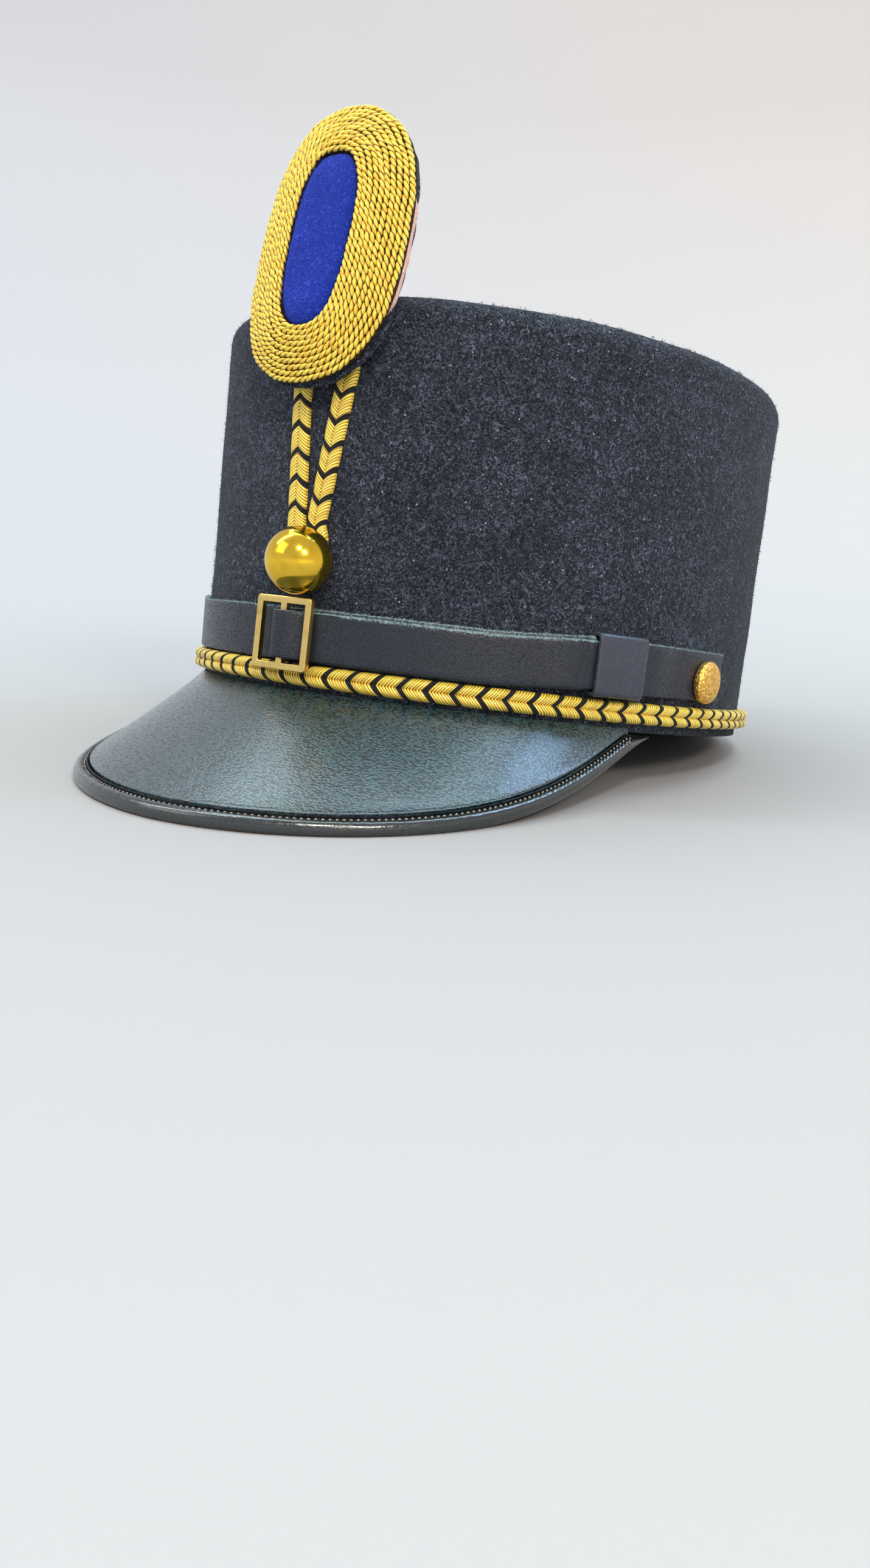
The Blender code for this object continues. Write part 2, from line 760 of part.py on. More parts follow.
def rest_pitch(front, back):
    """How far the cap tips back until its peak and the back of its rim are level."""
    low, high = -pi / 6, 0.0
    for _ in range(50):
        pitch = (low + high) / 2
        if lowest(front, pitch) > lowest(back, pitch):
            low = pitch
        else:
            high = pitch
    return pitch


def world_points(pieces):
    """The corners of the finished pieces, as they stand."""
    bpy.context.view_layer.update()
    graph = bpy.context.evaluated_depsgraph_get()
    points = []
    for piece in pieces:
        finished = piece.evaluated_get(graph)
        mesh = finished.to_mesh()
        points += [finished.matrix_world @ vert.co for vert in mesh.vertices]
        finished.to_mesh_clear()
    return points


def set_down(rest, crown, binding, finish, cutters):
    """Tips the cap to the way it rests, and presses the felt and the leather flat there."""
    front, back = world_points([binding]), world_points([crown])
    pitch = rest_pitch(front, back)
    rest.rotation_euler.x = pitch
    rest.location.z = -lowest(back, pitch) - PRESSED
    slab = as_cutter(box("floor", (4 * BASE_LENGTH, 4 * BASE_LENGTH, BASE_LENGTH), cutters, None, finish))
    slab.location.z = -BASE_LENGTH / 2
    cut(crown, slab)
    cut(binding, slab)


def center(rest, pieces):
    """Puts the middle of the cap's outline over the origin."""
    points = world_points(pieces)
    for axis in (0, 1):
        values = [point[axis] for point in points]
        rest.location[axis] -= (min(values) + max(values)) / 2


def main():
    for old in list(bpy.data.objects):
        bpy.data.objects.remove(old)
    kepi, cutters = collection("kepi"), collection("cutters", hidden=True)
    rest = bpy.data.objects.new("rest", None)
    kepi.objects.link(rest)

    felt = material("navy_wool_felt", NAVY_FELT, 0.95)
    leather = material("black_grained_leather", BLACK_LEATHER, 0.42)
    strap = material("black_strap_leather", STRAP_LEATHER, 0.55)
    braid = material("gold_soutache_braid", GOLD_BRAID, 0.45, 0.35)
    brass = material("brushed_brass", BRASS, 0.35, 1.0)
    polished = material("polished_brass", POLISHED_BRASS, 0.12, 1.0)
    blue = material("blue_wool_felt", BLUE_FELT, 0.95)
    salmon = material("salmon_felt", SALMON_FELT, 0.95)

    crown = make_crown(felt, rest, kepi)
    make_peak(leather, rest, kepi)
    binding = make_binding(leather, rest, kepi)
    make_band_braid(braid, rest, kepi)
    make_strap(strap, rest, kepi)
    make_tongue(strap, rest, kepi)
    make_buckle(brass, rest, kepi, cutters)
    make_keeper(strap, rest, kepi)
    for side in (-1, 1):
        make_side_button(side, brass, rest, kepi)
    make_ball_button(polished, rest, kepi)
    make_loop(braid, rest, kepi)
    make_cockade({"backing": felt, "ply": salmon, "ring": braid, "field": blue}, rest, kepi)
    make_stud(crown, brass, rest, kepi, cutters)

    set_down(rest, crown, binding, felt, cutters)
    center(rest, [piece for piece in kepi.objects if piece.type == "MESH"])


main()
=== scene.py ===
"""The look of the kepi: felt, grained leather, gold braid and cord, brass, and a plain studio.

Everything is modelled on the upright cap, in metres, with its rim at Z = 0, the peak towards -Y
and the wearer's left towards +X. settle() then tips each piece back to the way the cap rests.
"""

from bisect import bisect_left
from functools import partial
from math import atan2, cos, hypot, pi, radians, sin, sqrt
from random import Random

import bmesh
import bpy
from bpy.props import FloatProperty, FloatVectorProperty, IntProperty, PointerProperty
from mathutils import Matrix, Vector, noise


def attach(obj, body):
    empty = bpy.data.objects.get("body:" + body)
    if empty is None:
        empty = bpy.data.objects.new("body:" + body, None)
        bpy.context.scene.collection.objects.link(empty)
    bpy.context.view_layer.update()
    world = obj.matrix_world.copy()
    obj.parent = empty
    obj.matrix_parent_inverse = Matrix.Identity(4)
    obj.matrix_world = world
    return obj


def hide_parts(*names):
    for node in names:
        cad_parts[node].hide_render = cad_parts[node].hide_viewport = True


bl_info = {
    "name": "Kepi",
    "version": (1, 0, 0),
    "blender": (4, 5, 0),
    "location": "3D View > Sidebar > Kepi",
    "description": "Dresses the kepi in felt, leather, braid and brass, and lights it",
    "category": "Object",
}

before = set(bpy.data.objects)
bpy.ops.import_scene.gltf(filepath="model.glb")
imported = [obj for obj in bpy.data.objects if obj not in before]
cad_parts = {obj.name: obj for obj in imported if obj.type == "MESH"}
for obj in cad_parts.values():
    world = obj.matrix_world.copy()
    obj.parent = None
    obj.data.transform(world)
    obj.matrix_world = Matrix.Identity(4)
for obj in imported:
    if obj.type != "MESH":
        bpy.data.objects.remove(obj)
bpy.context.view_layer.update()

BODY = "root"
MM = 0.001
GAP = 0.3 * MM
UP = Vector((0, 0, 1))

# The way the cap rests: tipped back on its peak and the back of its rim
REST_PITCH = -7.189
REST_BACK = 22.845 * MM
REST_UP = 12.371 * MM
REST = Matrix.Translation((0, REST_BACK, REST_UP)) @ Matrix.Rotation(radians(REST_PITCH), 4, "X")

# The camera, in the upright cap's frame
CAMERA_AT = (0.21345, -0.37556, 0.01843)
CAMERA_AHEAD = (-0.51304, 0.85100, -0.11222)
CAMERA_UP = (-0.15989, 0.03370, 0.98656)
CAMERA_FILM = 36.0
CAMERA_LENS = 28.38

# The backdrop's paint: how much of it shows under the cap and at the walls, and how far out it
# changes. Painted light: the paint is tinted warmer towards the warm side and cooler opposite it.
NEAR_PAINT, FAR_PAINT = 0.41, 1.04
PAINT_REACH = 2.6
WARM_SIDE = (0.84, 0.52, 0.12)
TINT_REACH = 1.2
SKY, SKY_STRENGTH = "#F3F5F7", 0.74

# Soft lights: name, place, how high on the middle line they aim, width, height, watts and colour
LIGHTS = (
    ("ceiling", (-0.20, 0.42, 1.50), 0.05, 1.4, 0.9, 19, "#D2EEF6"),
    ("strip_left", (-0.75, -0.40, 1.15), 0.05, 0.10, 0.9, 5, "#F4FAFF"),
    ("fill_left", (-0.70, -1.05, 0.90), 0.08, 0.8, 0.8, 3, "#FFFAF0"),
    ("key_right", (0.72, -0.95, 1.15), 0.08, 0.22, 0.22, 9, "#FFF8EA"),
    ("lamp_right", (1.25, -0.85, 0.90), 0.08, 0.30, 0.30, 9, "#FFF6EA"),
    ("cool_behind", (0.72, 0.80, 1.45), 0.05, 0.42, 0.38, 7, "#A9D4FF"),
)


def linear(srgb):
    """The linear colour of an sRGB hex value."""
    levels = [int(srgb[i : i + 2], 16) / 255 for i in (1, 3, 5)]
    return tuple(v / 12.92 if v <= 0.04045 else ((v + 0.055) / 1.055) ** 2.4 for v in levels)


def size(name, description, default, low=0.0):
    """A length that a user may change."""
    return FloatProperty(
        name=name, description=description, default=default, min=low, unit="LENGTH", precision=5
    )


def tilt(name, description, default):
    """An angle that a user may change."""
    return FloatProperty(
        name=name, description=description, default=radians(default), unit="ROTATION"
    )


def colour(name, description, srgb):
    """A colour that a user may change, given as sRGB hex."""
    return FloatVectorProperty(
        name=name, description=description, default=linear(srgb), min=0, max=1, subtype="COLOR"
    )


class KepiCrownSizes(bpy.types.PropertyGroup):
    base_length: size("Base length", "Front to back at the rim", 204.1 * MM)
    base_width: size("Base width", "Side to side at the rim", 172.3 * MM)
    top_length: size("Top length", "Front to back at the top", 205.6 * MM)
    top_width: size("Top width", "Side to side at the top", 173.0 * MM)
    height: size("Height", "From the rim to the top", 108.6 * MM)
    top_forward: size("Top forward", "How far the top stands forward of the rim", 1.7 * MM)
    top_round: size("Top edge", "Radius of the rounded edge round the top", 6.0 * MM)
    felt: size("Felt", "Thickness of the felt", 2.8 * MM)
    nap: size("Nap", "Length of the fibres on the felt", 1.3 * MM)
    fibres: IntProperty(
        name="Fibres", description="Loose fibres on the crown", default=31000, min=0
    )


class KepiPeakSizes(bpy.types.PropertyGroup):
    depth: size("Depth", "How far the peak reaches down its slope at the front", 63.3 * MM)
    end_angle: tilt("Ends", "How far round the rim each end of the peak is", 74.3)
    front_drop: tilt("Front drop", "Slope of the peak at the front", 29.8)
    side_drop: tilt("Side drop", "Slope of the peak at its ends", 76.0)
    thickness: size("Thickness", "Thickness of the leather plate", 2.4 * MM)
    edge_width: size("Edge width", "Width of the rolled edge", 5.5 * MM)
    edge_thickness: size("Edge thickness", "Thickness of the rolled edge", 4.3 * MM)
    stitch: size("Stitch", "Distance from stitch to stitch", 1.7 * MM, 0.5 * MM)


class KepiBraidSizes(bpy.types.PropertyGroup):
    width: size("Width", "Width of the braid round the rim", 6.1 * MM)
    thickness: size("Thickness", "How far the rim's braid stands out", 3.4 * MM)
    loop_width: size("Loop width", "Width of the cockade's loop", 6.0 * MM)
    loop_thickness: size("Loop thickness", "How far the loop stands out", 1.9 * MM)
    chevron: size("Chevron", "Distance from one dark stripe to the next", 7.2 * MM, 1 * MM)
    stripe: size("Stripe", "Width of a dark stripe along the braid", 1.85 * MM)
    thread: size("Thread", "Distance between the gold threads", 0.85 * MM, 0.1 * MM)


class KepiStrapSizes(bpy.types.PropertyGroup):
    width: size("Width", "Width of the chin strap", 14.6 * MM)
    thickness: size("Thickness", "Thickness of its leather", 1.6 * MM)
    tongue_width: size("Tongue width", "Width of the buckled end", 13.1 * MM)
    tongue_thickness: size("Tongue thickness", "Thickness of the buckled end", 1.4 * MM)
    buckle_width: size("Buckle width", "Width of the brass buckle", 19.0 * MM)
    buckle_height: size("Buckle height", "Height of the brass buckle", 20.2 * MM)
    keeper_length: size("Keeper", "Length of the keeper along the strap", 15.6 * MM)
    ball: size("Ball", "Diameter of the ball button", 18.5 * MM)
    side_button: size("Side button", "Diameter of a side button", 12.7 * MM)


class KepiCockadeSizes(bpy.types.PropertyGroup):
    field_width: size("Field width", "Width of the blue felt", 19.7 * MM)
    field_length: size("Field length", "Length of the blue felt", 47.5 * MM)
    ring_width: size("Ring width", "Width of the gold cord's ring", 14.2 * MM)
    ring_rise: size("Ring rise", "How far the ring rises to the blue felt", 3.7 * MM)
    lean: tilt("Lean", "How far the cockade leans back", 10.0)
    bend: size("Bend", "Radius of the bend from side to side", 101.5 * MM, 10 * MM)
    rows: IntProperty(
        name="Rows", description="Turns of cord round the blue felt", default=10, min=1
    )
    twist: size("Twist", "Length of one full twist of the cord", 4.0 * MM, 0.5 * MM)


class KepiColours(bpy.types.PropertyGroup):
    felt: colour("Felt", "Ground colour of the crown's felt", "#080A10")
    felt_fibre: colour("Felt fibre", "Colour of the felt's loose fibres", "#7C869D")
    peak: colour("Peak", "Leather of the peak", "#284048")
    strap: colour("Strap", "Leather of the chin strap", "#161C29")
    raw_edge: colour("Raw edge", "Cut edges of the strap", "#8FA9B0")
    thread: colour("Sewing thread", "Stitches along the peak", "#B6B6B0")
    gold: colour("Gold thread", "Lit colour of the braid's and cord's thread", "#FFE75C")
    # Painted shade: this colour fills the gaps between the gold threads and plies, and tints the
    # dark padding under the cord
    gold_shade: colour("Gold shade", "Colour between the threads", "#9A641C")
    stripe: colour("Stripe", "Dark stripes in the braid", "#08080A")
    brass: colour("Brass", "Buckle", "#DDBE74")
    button: colour("Button", "Side buttons", "#FFD67A")
    ball: colour("Ball", "Polished ball button", "#EBC03C")
    blue: colour("Blue felt", "Middle of the cockade", "#0E2C9E")
    salmon: colour("Salmon felt", "Ply behind the gold cord", "#FFD0C6")
    backdrop: colour("Backdrop", "Floor and backdrop", "#F7F7F7")


# Crown: how much lower its front is, as a share of its height, the heights between which its
# felt comes free of braid and strap, and how far it may stand out there
FRONT_FALL = 0.012
FELT_FREE = (24 * MM, 34 * MM)
FELT_MOST_PROUD = 0.25 * MM

# Nap: the share of its fibres on the wall, and of the others the shares round the top edge and
# in small tufts there. They start this far inside the felt.
NAP_ON_WALL, NAP_ON_EDGE, NAP_IN_TUFTS = 0.72, 0.60, 0.36
NAP_ROOT = 0.1 * MM
TUFTS = 260

# Peak: how full its outline is, and where it meets the rim
PEAK_FULLNESS = 1.81
PEAK_POINTEDNESS = 1.64
PEAK_SEAT = 1.6 * MM
EDGE_SEAT = 2.2 * MM
EDGE_PROUD = 0.7 * MM
EDGE_END_WIDTH = 1.6 * MM

# Braid: where it starts over the rim, how far its chevrons lean, and how full it is between them
BRAID_BOTTOM = 2.5 * MM
BRAID_SLANT = 0.85
BRAID_WAIST, BRAID_SWELL = 0.84, 0.16

# Chin strap
STRAP_ABOVE_BRAID = 0.5 * MM
STRAP_SIDE_RISE = 1.7 * MM
STRAP_RISE_FROM, STRAP_RISE_TO = 33.0, 55.0
STRAP_PAST_BUTTON = 11.0 * MM
TONGUE_TAIL = 3.2 * MM
TONGUE_DROP = 0.25 * MM
TONGUE_PAST_KEEPER = 5.5 * MM
KEEPER_ANGLE = 57.2
KEEPER_THICKNESS = 1.2 * MM
KEEPER_LIFT_FULL, KEEPER_LIFT_END = 13.3 * MM, 25.0 * MM
EDGE_FIBRES, FIBRES_ON_TONGUE = 11000, 0.42

# Buckle and buttons
BUCKLE_BAR = 2.0 * MM
BUCKLE_DEPTH = 2.1 * MM
BUCKLE_ANGLE = -1.3
SIDE_BUTTON_ANGLE = 80.0
SIDE_BUTTON_HEIGHT = 3.6 * MM
SIDE_BUTTON_DROP = 1.6 * MM
BALL_DEPTH = 13.5 * MM
BALL_ABOVE_BUCKLE = 0.6 * MM
BALL_OFF_CENTER = 2.0 * MM
SHANK = 2.2 * MM

# Loop of braid behind the ball
LOOP_SHANK_WIDTH = 3.6 * MM
LOOP_TOP = 98.0 * MM
LOOP_SPREAD = 8.3 * MM

# Cockade
FIELD_SQUARENESS = 2.75
FIELD_RISE = 0.6 * MM
FIELD_TUCK = 0.45 * MM
FIELD_EDGE_SUNK = 5 * GAP
RING_EDGE = 1.3 * MM
RING_FULLNESS = 1.7
BACKING = 1.3 * MM
PLY = 1.2 * MM
RING_BASE = BACKING + GAP + PLY + GAP
PLY_PROUD = 0.1 * MM
PLY_SOFT = 0.25 * MM
BACKING_TRIM, PLY_TRIM = 0.9 * MM, 1.5 * MM
BLUE_FIBRES = 2600
COCKADE_ABOVE_TOP = 10.0 * MM
COCKADE_OFF_CENTER = -1.7 * MM

# Cord: its radius as a share of its row; then as shares of that radius how deep its middle and
# the core's face lie in the ring, and how thick it is between its plies and how much more on them
CORD_FULLNESS = 0.52
CORD_SUNK, CORE_SUNK = 0.80, 0.62
CORD_WAIST, CORD_SWELL = 0.54, 0.52

# How uneven the soft and the pebbled surfaces are: depth, grain and a seed
FELT_WAVES, FELT_LUMPS = (0.45 * MM, 26 * MM), (0.10 * MM, 2.6 * MM, 5)
PEAK_WAVES, ROLL_PUCKERS = (0.25 * MM, 22 * MM, 3), (0.10 * MM, 1.6 * MM, 7)
STRAP_WAVES, TONGUE_WAVES = (0.12 * MM, 4 * MM, 2), (0.10 * MM, 3 * MM, 9)
BLUE_WAVES, BLUE_LUMPS = (0.12 * MM, 3 * MM), (0.06 * MM, 1.0 * MM)
BUTTON_PEBBLES = (0.08 * MM, 0.9 * MM)

# Rolled edge's section: across as a share of its width, lift as a share of its thickness
EDGE_SECTION = (
    (-0.50, 0.02), (-0.49, 0.26), (-0.45, 0.37), (-0.37, 0.38), (-0.31, 0.20), (-0.25, 0.19),
    (-0.20, 0.36), (-0.10, 0.44), (0.02, 0.49), (0.14, 0.50), (0.26, 0.45), (0.37, 0.33),
    (0.45, 0.17), (0.50, -0.02), (0.495, -0.14), (0.46, -0.19), (0.455, -0.25), (0.45, -0.33),
    (0.36, -0.42), (0.20, -0.48), (0.00, -0.50), (-0.20, -0.47), (-0.36, -0.38), (-0.46, -0.20),
    (-0.50, 0.02),
)

# The first rows of that section are the channel that the stitches lie in, and beside it the roll
# bulges between two stitches
CHANNEL_ROWS = 6
CHANNEL_MIDDLE = (-0.27, 0.20)
BULGE_AT = -0.19

# Stitches: where they lie on that section, how they slant, half their length as a share of the
# distance between them, and half their width and height
STITCH_LINE = (-0.24, 0.30)
STITCH_SLANT = 0.22
STITCH_HALF_LENGTH = 0.27
STITCH_RADII = (0.34 * MM, 0.30 * MM)

# Loop legs: height as a share of the way up, and each leg's distance as a share of the spread
LOOP_LEGS = (
    # height, left, right
    (0.10, 0.18, 0.66),
    (0.17, 0.05, 0.77),
    (0.30, 0.17, 0.83),
    (0.50, 0.37, 0.92),
    (0.72, 0.60, 1.01),
    (0.88, 0.75, 0.98),
    (0.98, 0.52, 0.62),
)

# Tongue past the buckle's bar: along as a share of half the buckle, fall towards the strap
TONGUE_FALL = (
    # along, fall
    (0.16, 0.06),
    (0.34, 0.32),
    (0.52, 0.66),
    (0.68, 0.90),
    (0.86, 1.00),
)


def smoothstep(low, high, value):
    t = min(max((value - low) / (high - low), 0.0), 1.0)
    return t * t * (3 - 2 * t)


def between(low, high, share):
    return low + (high - low) * share


def spline(rows, share):
    """A smooth curve through the rows, each a tuple of numbers, read at a share of its length."""
    place = min(max(share, 0.0), 1.0) * (len(rows) - 1)
    i = min(int(place), len(rows) - 2)
    t = place - i
    before, after = rows[max(i - 1, 0)], rows[min(i + 2, len(rows) - 1)]
    return tuple(
        0.5 * (
            2 * b + (c - a) * t
            + (2 * a - 5 * b + 4 * c - d) * t**2
            + (3 * b - a - 3 * c + d) * t**3
        )
        for a, b, c, d in zip(before, rows[i], rows[i + 1], after)
    )


def row_at(rows, share):
    """The row at a share of the way through them."""
    return rows[round(share * (len(rows) - 1))]


def arc(centre, reach, first, last, steps):
    """Points on an ellipse, from one turn to another."""
    turns = [between(first, last, step / steps) for step in range(steps + 1)]
    return [(centre[0] + reach[0] * cos(turn), centre[1] + reach[1] * sin(turn)) for turn in turns]


def rough(point, depth, grain, seed=0.0):
    """Smooth noise from -depth to depth that changes over about one grain."""
    return depth * noise.noise(Vector(point) / grain + Vector((seed, 0, 0)))


class Wall:
    """The crown's outer side. Angles are in degrees from the front, towards the wearer's left."""

    def __init__(self, scene):
        s = scene.kepi_crown
        self.base = (s.base_length, s.base_width)
        self.top = (s.top_length, s.top_width)
        self.height, self.forward = s.height, s.top_forward
        self.felt, self.round = s.felt, s.top_round

    def point(self, angle, height, proud=0.0):
        rise = height / self.height
        half_length = between(self.base[0], self.top[0], rise) / 2 + proud
        half_width = between(self.base[1], self.top[1], rise) / 2 + proud
        y = -half_length * cos(radians(angle)) - self.forward * rise
        z = height * (1 + FRONT_FALL * y / self.base[0])
        return Vector((half_width * sin(radians(angle)), y, z))

    def out(self, angle):
        length, width = self.base
        return Vector((sin(radians(angle)) * length, -cos(radians(angle)) * width, 0)).normalized()

    def speed(self, angle):
        """Metres along the wall for each degree."""
        length, width = self.base
        return radians(hypot(width * cos(radians(angle)), length * sin(radians(angle))) / 2)

    def front(self, along):
        """The angle of a point this far from the front's middle line."""
        return along / self.speed(0)

    def seat(self, angle, height, proud):
        """A matrix that stands a turned piece on the wall, its Z pointing out."""
        turn = self.out(angle).to_track_quat("Z", "Y").to_matrix().to_4x4()
        return Matrix.Translation(self.point(angle, height, proud)) @ turn


class Track:
    """Distances along a curve, so that a pattern keeps its scale."""

    def __init__(self, place, count):
        self.count = count
        points = [place(step / count) for step in range(count + 1)]
        self.far = [0.0]
        for first, second in zip(points, points[1:]):
            self.far.append(self.far[-1] + (second - first).length)
        self.length = self.far[-1]

    def at(self, share):
        """Metres from the start at this share of the curve's own numbers."""
        place = min(max(share, 0.0), 1.0) * self.count
        i = min(int(place), self.count - 1)
        return between(self.far[i], self.far[i + 1], place - i)

    def share(self, along):
        """The curve's own share at a distance of along metres."""
        i = min(max(bisect_left(self.far, along), 1), self.count)
        step = self.far[i] - self.far[i - 1]
        return (i - 1 + (along - self.far[i - 1]) / step) / self.count


def surface(across, along, place, pattern=None):
    """A grid whose corners go to place(u, v), with a UV map from pattern(u, v)."""
    mesh = bmesh.new()
    layer = mesh.loops.layers.uv.new("pattern")
    bmesh.ops.create_grid(mesh, x_segments=across, y_segments=along, size=0.5, calc_uvs=True)
    for face in mesh.faces:
        for loop in face.loops:
            u, v = loop.vert.co.x + 0.5, loop.vert.co.y + 0.5
            loop[layer].uv = pattern(u, v) if pattern else (u, v)
    for vert in mesh.verts:
        vert.co = place(vert.co.x + 0.5, vert.co.y + 0.5)
    bmesh.ops.remove_doubles(mesh, verts=mesh.verts, dist=1e-7)
    return mesh


def outward(mesh):
    """Turns a closed mesh's faces outwards."""
    bmesh.ops.recalc_face_normals(mesh, faces=mesh.faces)
    return mesh


def closed(mesh):
    """Fills each open end of a mesh."""
    bmesh.ops.holes_fill(mesh, edges=mesh.edges, sides=0)
    return outward(mesh)


def soften(mesh, edges, width, segments):
    """Rounds these edges."""
    bmesh.ops.bevel(
        mesh, geom=edges, offset=width, segments=segments, affect="EDGES", profile=0.5,
        material=-1,
    )


def faces_out(mesh, centre):
    """Turns an open surface's faces away from centre(point)."""
    middles = ((face, face.calc_center_median()) for face in mesh.faces)
    if sum(face.normal.dot(middle - centre(middle)) for face, middle in middles) < 0:
        bmesh.ops.reverse_faces(mesh, faces=mesh.faces)
    return mesh


def turned(profile, steps):
    """A turned solid about Z from (radius, height) pairs that run down its outer side."""
    mesh = bmesh.new()
    verts = [mesh.verts.new((radius, 0, height)) for radius, height in profile]
    edges = [mesh.edges.new(pair) for pair in zip(verts, verts[1:])]
    bmesh.ops.spin(
        mesh, geom=verts + edges, axis=(0, 0, 1), cent=(0, 0, 0), angle=2 * pi, steps=steps,
        use_merge=True,
    )
    bmesh.ops.remove_doubles(mesh, verts=mesh.verts, dist=1e-6)
    return outward(mesh)


def ribbons(count, start, seed, length, width, curl=0.9, lift=0.3, steps=3):
    """Loose fibres: short curled ribbons. start(random) gives a point and the way out of it."""
    chance = Random(seed)
    columns = 2 * count - 1
    mesh = bmesh.new()
    bmesh.ops.create_grid(mesh, x_segments=columns, y_segments=steps, size=0.5)
    between_fibres = [
        face for face in mesh.faces if int((face.calc_center_median().x + 0.5) * columns) % 2
    ]
    bmesh.ops.delete(mesh, geom=between_fibres, context="FACES")
    lines = []
    for _ in range(count):
        point, out = start(chance)
        aside = Vector([chance.uniform(-1, 1) for _ in range(3)])
        side = out.cross(aside).normalized()
        rise = lift * chance.random() ** 2
        turn = chance.uniform(-curl, curl)
        far = length * chance.uniform(0.5, 1.2)
        line = []
        for step in range(steps + 1):
            line.append((point.copy(), out.cross(side).normalized()))
            side = (Matrix.Rotation(turn, 3, out) @ side).normalized()
            point = point + (side + out * rise).normalized() * far / steps
            rise *= 0.4
        lines.append(line)
    for vert in mesh.verts:
        column = round((vert.co.x + 0.5) * columns)
        step = round((vert.co.y + 0.5) * steps)
        point, across = lines[column // 2][step]
        thin = 1.0 - 0.7 * step / steps
        vert.co = point + across * width * thin * (column % 2 - 0.5)
    return mesh


def placed(name, data):
    """A new object in the scene."""
    made = bpy.data.objects.new(name, data)
    bpy.context.scene.collection.objects.link(made)
    return made


def smooth_mesh(name, mesh, finishes):
    """A smooth shaded mesh with these finishes."""
    data = bpy.data.meshes.new(name)
    mesh.to_mesh(data)
    mesh.free()
    data.shade_smooth()
    for finish in finishes:
        data.materials.append(finish)
    return data


def settle(name, mesh, finishes, nodes, sharp=50, flat=False, seat=Matrix()):
    """Seats a mesh on the upright cap, tips it to the way the cap rests, and makes it a piece."""
    for matrix in (seat, REST):
        bmesh.ops.transform(mesh, matrix=matrix, verts=mesh.verts)
    if flat:
        for vert in mesh.verts:
            vert.co.z = max(vert.co.z, 0.0)
    data = smooth_mesh(name, mesh, finishes)
    data.set_sharp_from_angle(angle=radians(sharp))
    piece = placed(name, data)
    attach(piece, BODY)
    if nodes:
        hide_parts(*nodes)
    return piece


def thicken(piece, thickness, side, soft):
    """Gives leather its thickness, with softened corners and its cut edges in the second finish."""
    shell = piece.modifiers.new("Thickness", "SOLIDIFY")
    shell.thickness = thickness
    shell.offset = side
    shell.use_even_offset = True
    shell.material_offset_rim = 1
    corner = piece.modifiers.new("Corners", "BEVEL")
    corner.width = soft
    corner.segments = 2
    corner.limit_method = "ANGLE"
    corner.angle_limit = radians(50)


# Settings that many nodes share
SMOOTH = {"interpolation_type": "SMOOTHSTEP"}
COLOURED = {"out": 2, "data_type": "RGBA"}


def wire(tree, node, inputs):
    """Sets or links each of a node's inputs."""
    for socket, value in inputs.items():
        end = node.inputs[socket]
        if isinstance(value, bpy.types.NodeSocket):
            tree.links.new(value, end)
        else:
            end.default_value = (*value, 1) if end.type == "RGBA" else value


def add_node(tree, kind, inputs, out=0, **settings):
    """Adds a node with its settings, sets or links its inputs, and gives one of its outputs."""
    made = tree.nodes.new("ShaderNode" + kind)
    for name, value in settings.items():
        setattr(made, name, value)
    wire(tree, made, inputs)
    return made.outputs[out]


def start_finish(name):
    """An empty finish, add_node for its own tree, and its object coordinates."""
    made = bpy.data.materials.new(name)
    made.use_nodes = True
    add = partial(add_node, made.node_tree)
    return made, add, add("TexCoord", {}, "Object")


def finished(made, inputs):
    """Sets or links the inputs of a finish's shader."""
    wire(made.node_tree, made.node_tree.nodes["Principled BSDF"], inputs)
    return made


def tinted(tone, *tint, lift=0.0):
    """A colour multiplied by one factor or by three, and lifted, but never over full."""
    return tuple(min(v * k + lift, 1.0) for v, k in zip(tone, tint * (3 // len(tint))))


def wool_felt(name, ground, fibre, curl=1.35 * MM, depth=0.4 * MM, lint=0.7):
    """Milled wool felt: quite matt, light fibres curled over a darker ground, a little lint."""
    made, add, at = start_finish(name)
    curls = {"Vector": at, "Scale": 1 / curl, "Detail": 2, "Distortion": 1.8}
    channels = add("SeparateColor", {0: add("TexNoise", curls, "Color")}).node.outputs
    fine = add("TexNoise", {
        "Vector": at, "Scale": 1 / (0.42 * curl), "Detail": 3, "Roughness": 0.7,
    })
    wide = add("TexNoise", {"Vector": at, "Scale": 1 / (14 * curl), "Detail": 2})
    specks = add("TexVoronoi", {"Vector": at, "Scale": 1 / (3.4 * MM)})
    # A fibre runs where the noise passes its middle value, and the noise's third channel breaks it
    off = []
    for channel in channels[:2]:
        past = add("Math", {0: channel, 1: -0.5}, operation="ADD")
        off.append(add("Math", {0: past}, operation="ABSOLUTE"))
    near = add("Math", {0: off[0], 1: off[1]}, operation="MINIMUM")
    strand = add("MapRange", {0: near, 1: 0.045, 2: 0.008}, **SMOOTH)
    whole = add("MapRange", {0: channels[2], 1: 0.47, 2: 0.58}, **SMOOTH)
    strands = add("Math", {0: strand, 1: whole}, operation="MULTIPLY")
    matted = add("MapRange", {0: fine, 1: 0.38, 2: 0.64, 3: 0.0, 4: 0.16})
    factor = add("Math", {0: strands, 1: 0.7, 2: matted}, operation="MULTIPLY_ADD")
    worn = add("MapRange", {0: wide, 1: 0.35, 2: 0.6, 3: 0.75, 4: 1.0})
    factor = add("Math", {0: factor, 1: worn}, operation="MULTIPLY")
    tone = add("Mix", {0: factor, 6: ground, 7: fibre}, **COLOURED)
    spot = add("MapRange", {0: specks, 1: 0.085, 2: 0.05, 4: lint})
    tone = add("Mix", {0: spot, 6: tone, 7: tinted(fibre, 2.2, lift=0.08)}, **COLOURED)
    height = add("Math", {0: strands, 1: 0.32, 2: fine}, operation="MULTIPLY_ADD")
    relief = add("Bump", {"Height": height, "Distance": depth, "Strength": 1.0})
    return finished(made, {
        "Base Color": tone, "Normal": relief, "Roughness": 0.97, "Specular IOR Level": 0.2,
        "Sheen Weight": 0.05, "Sheen Roughness": 0.4,
    })


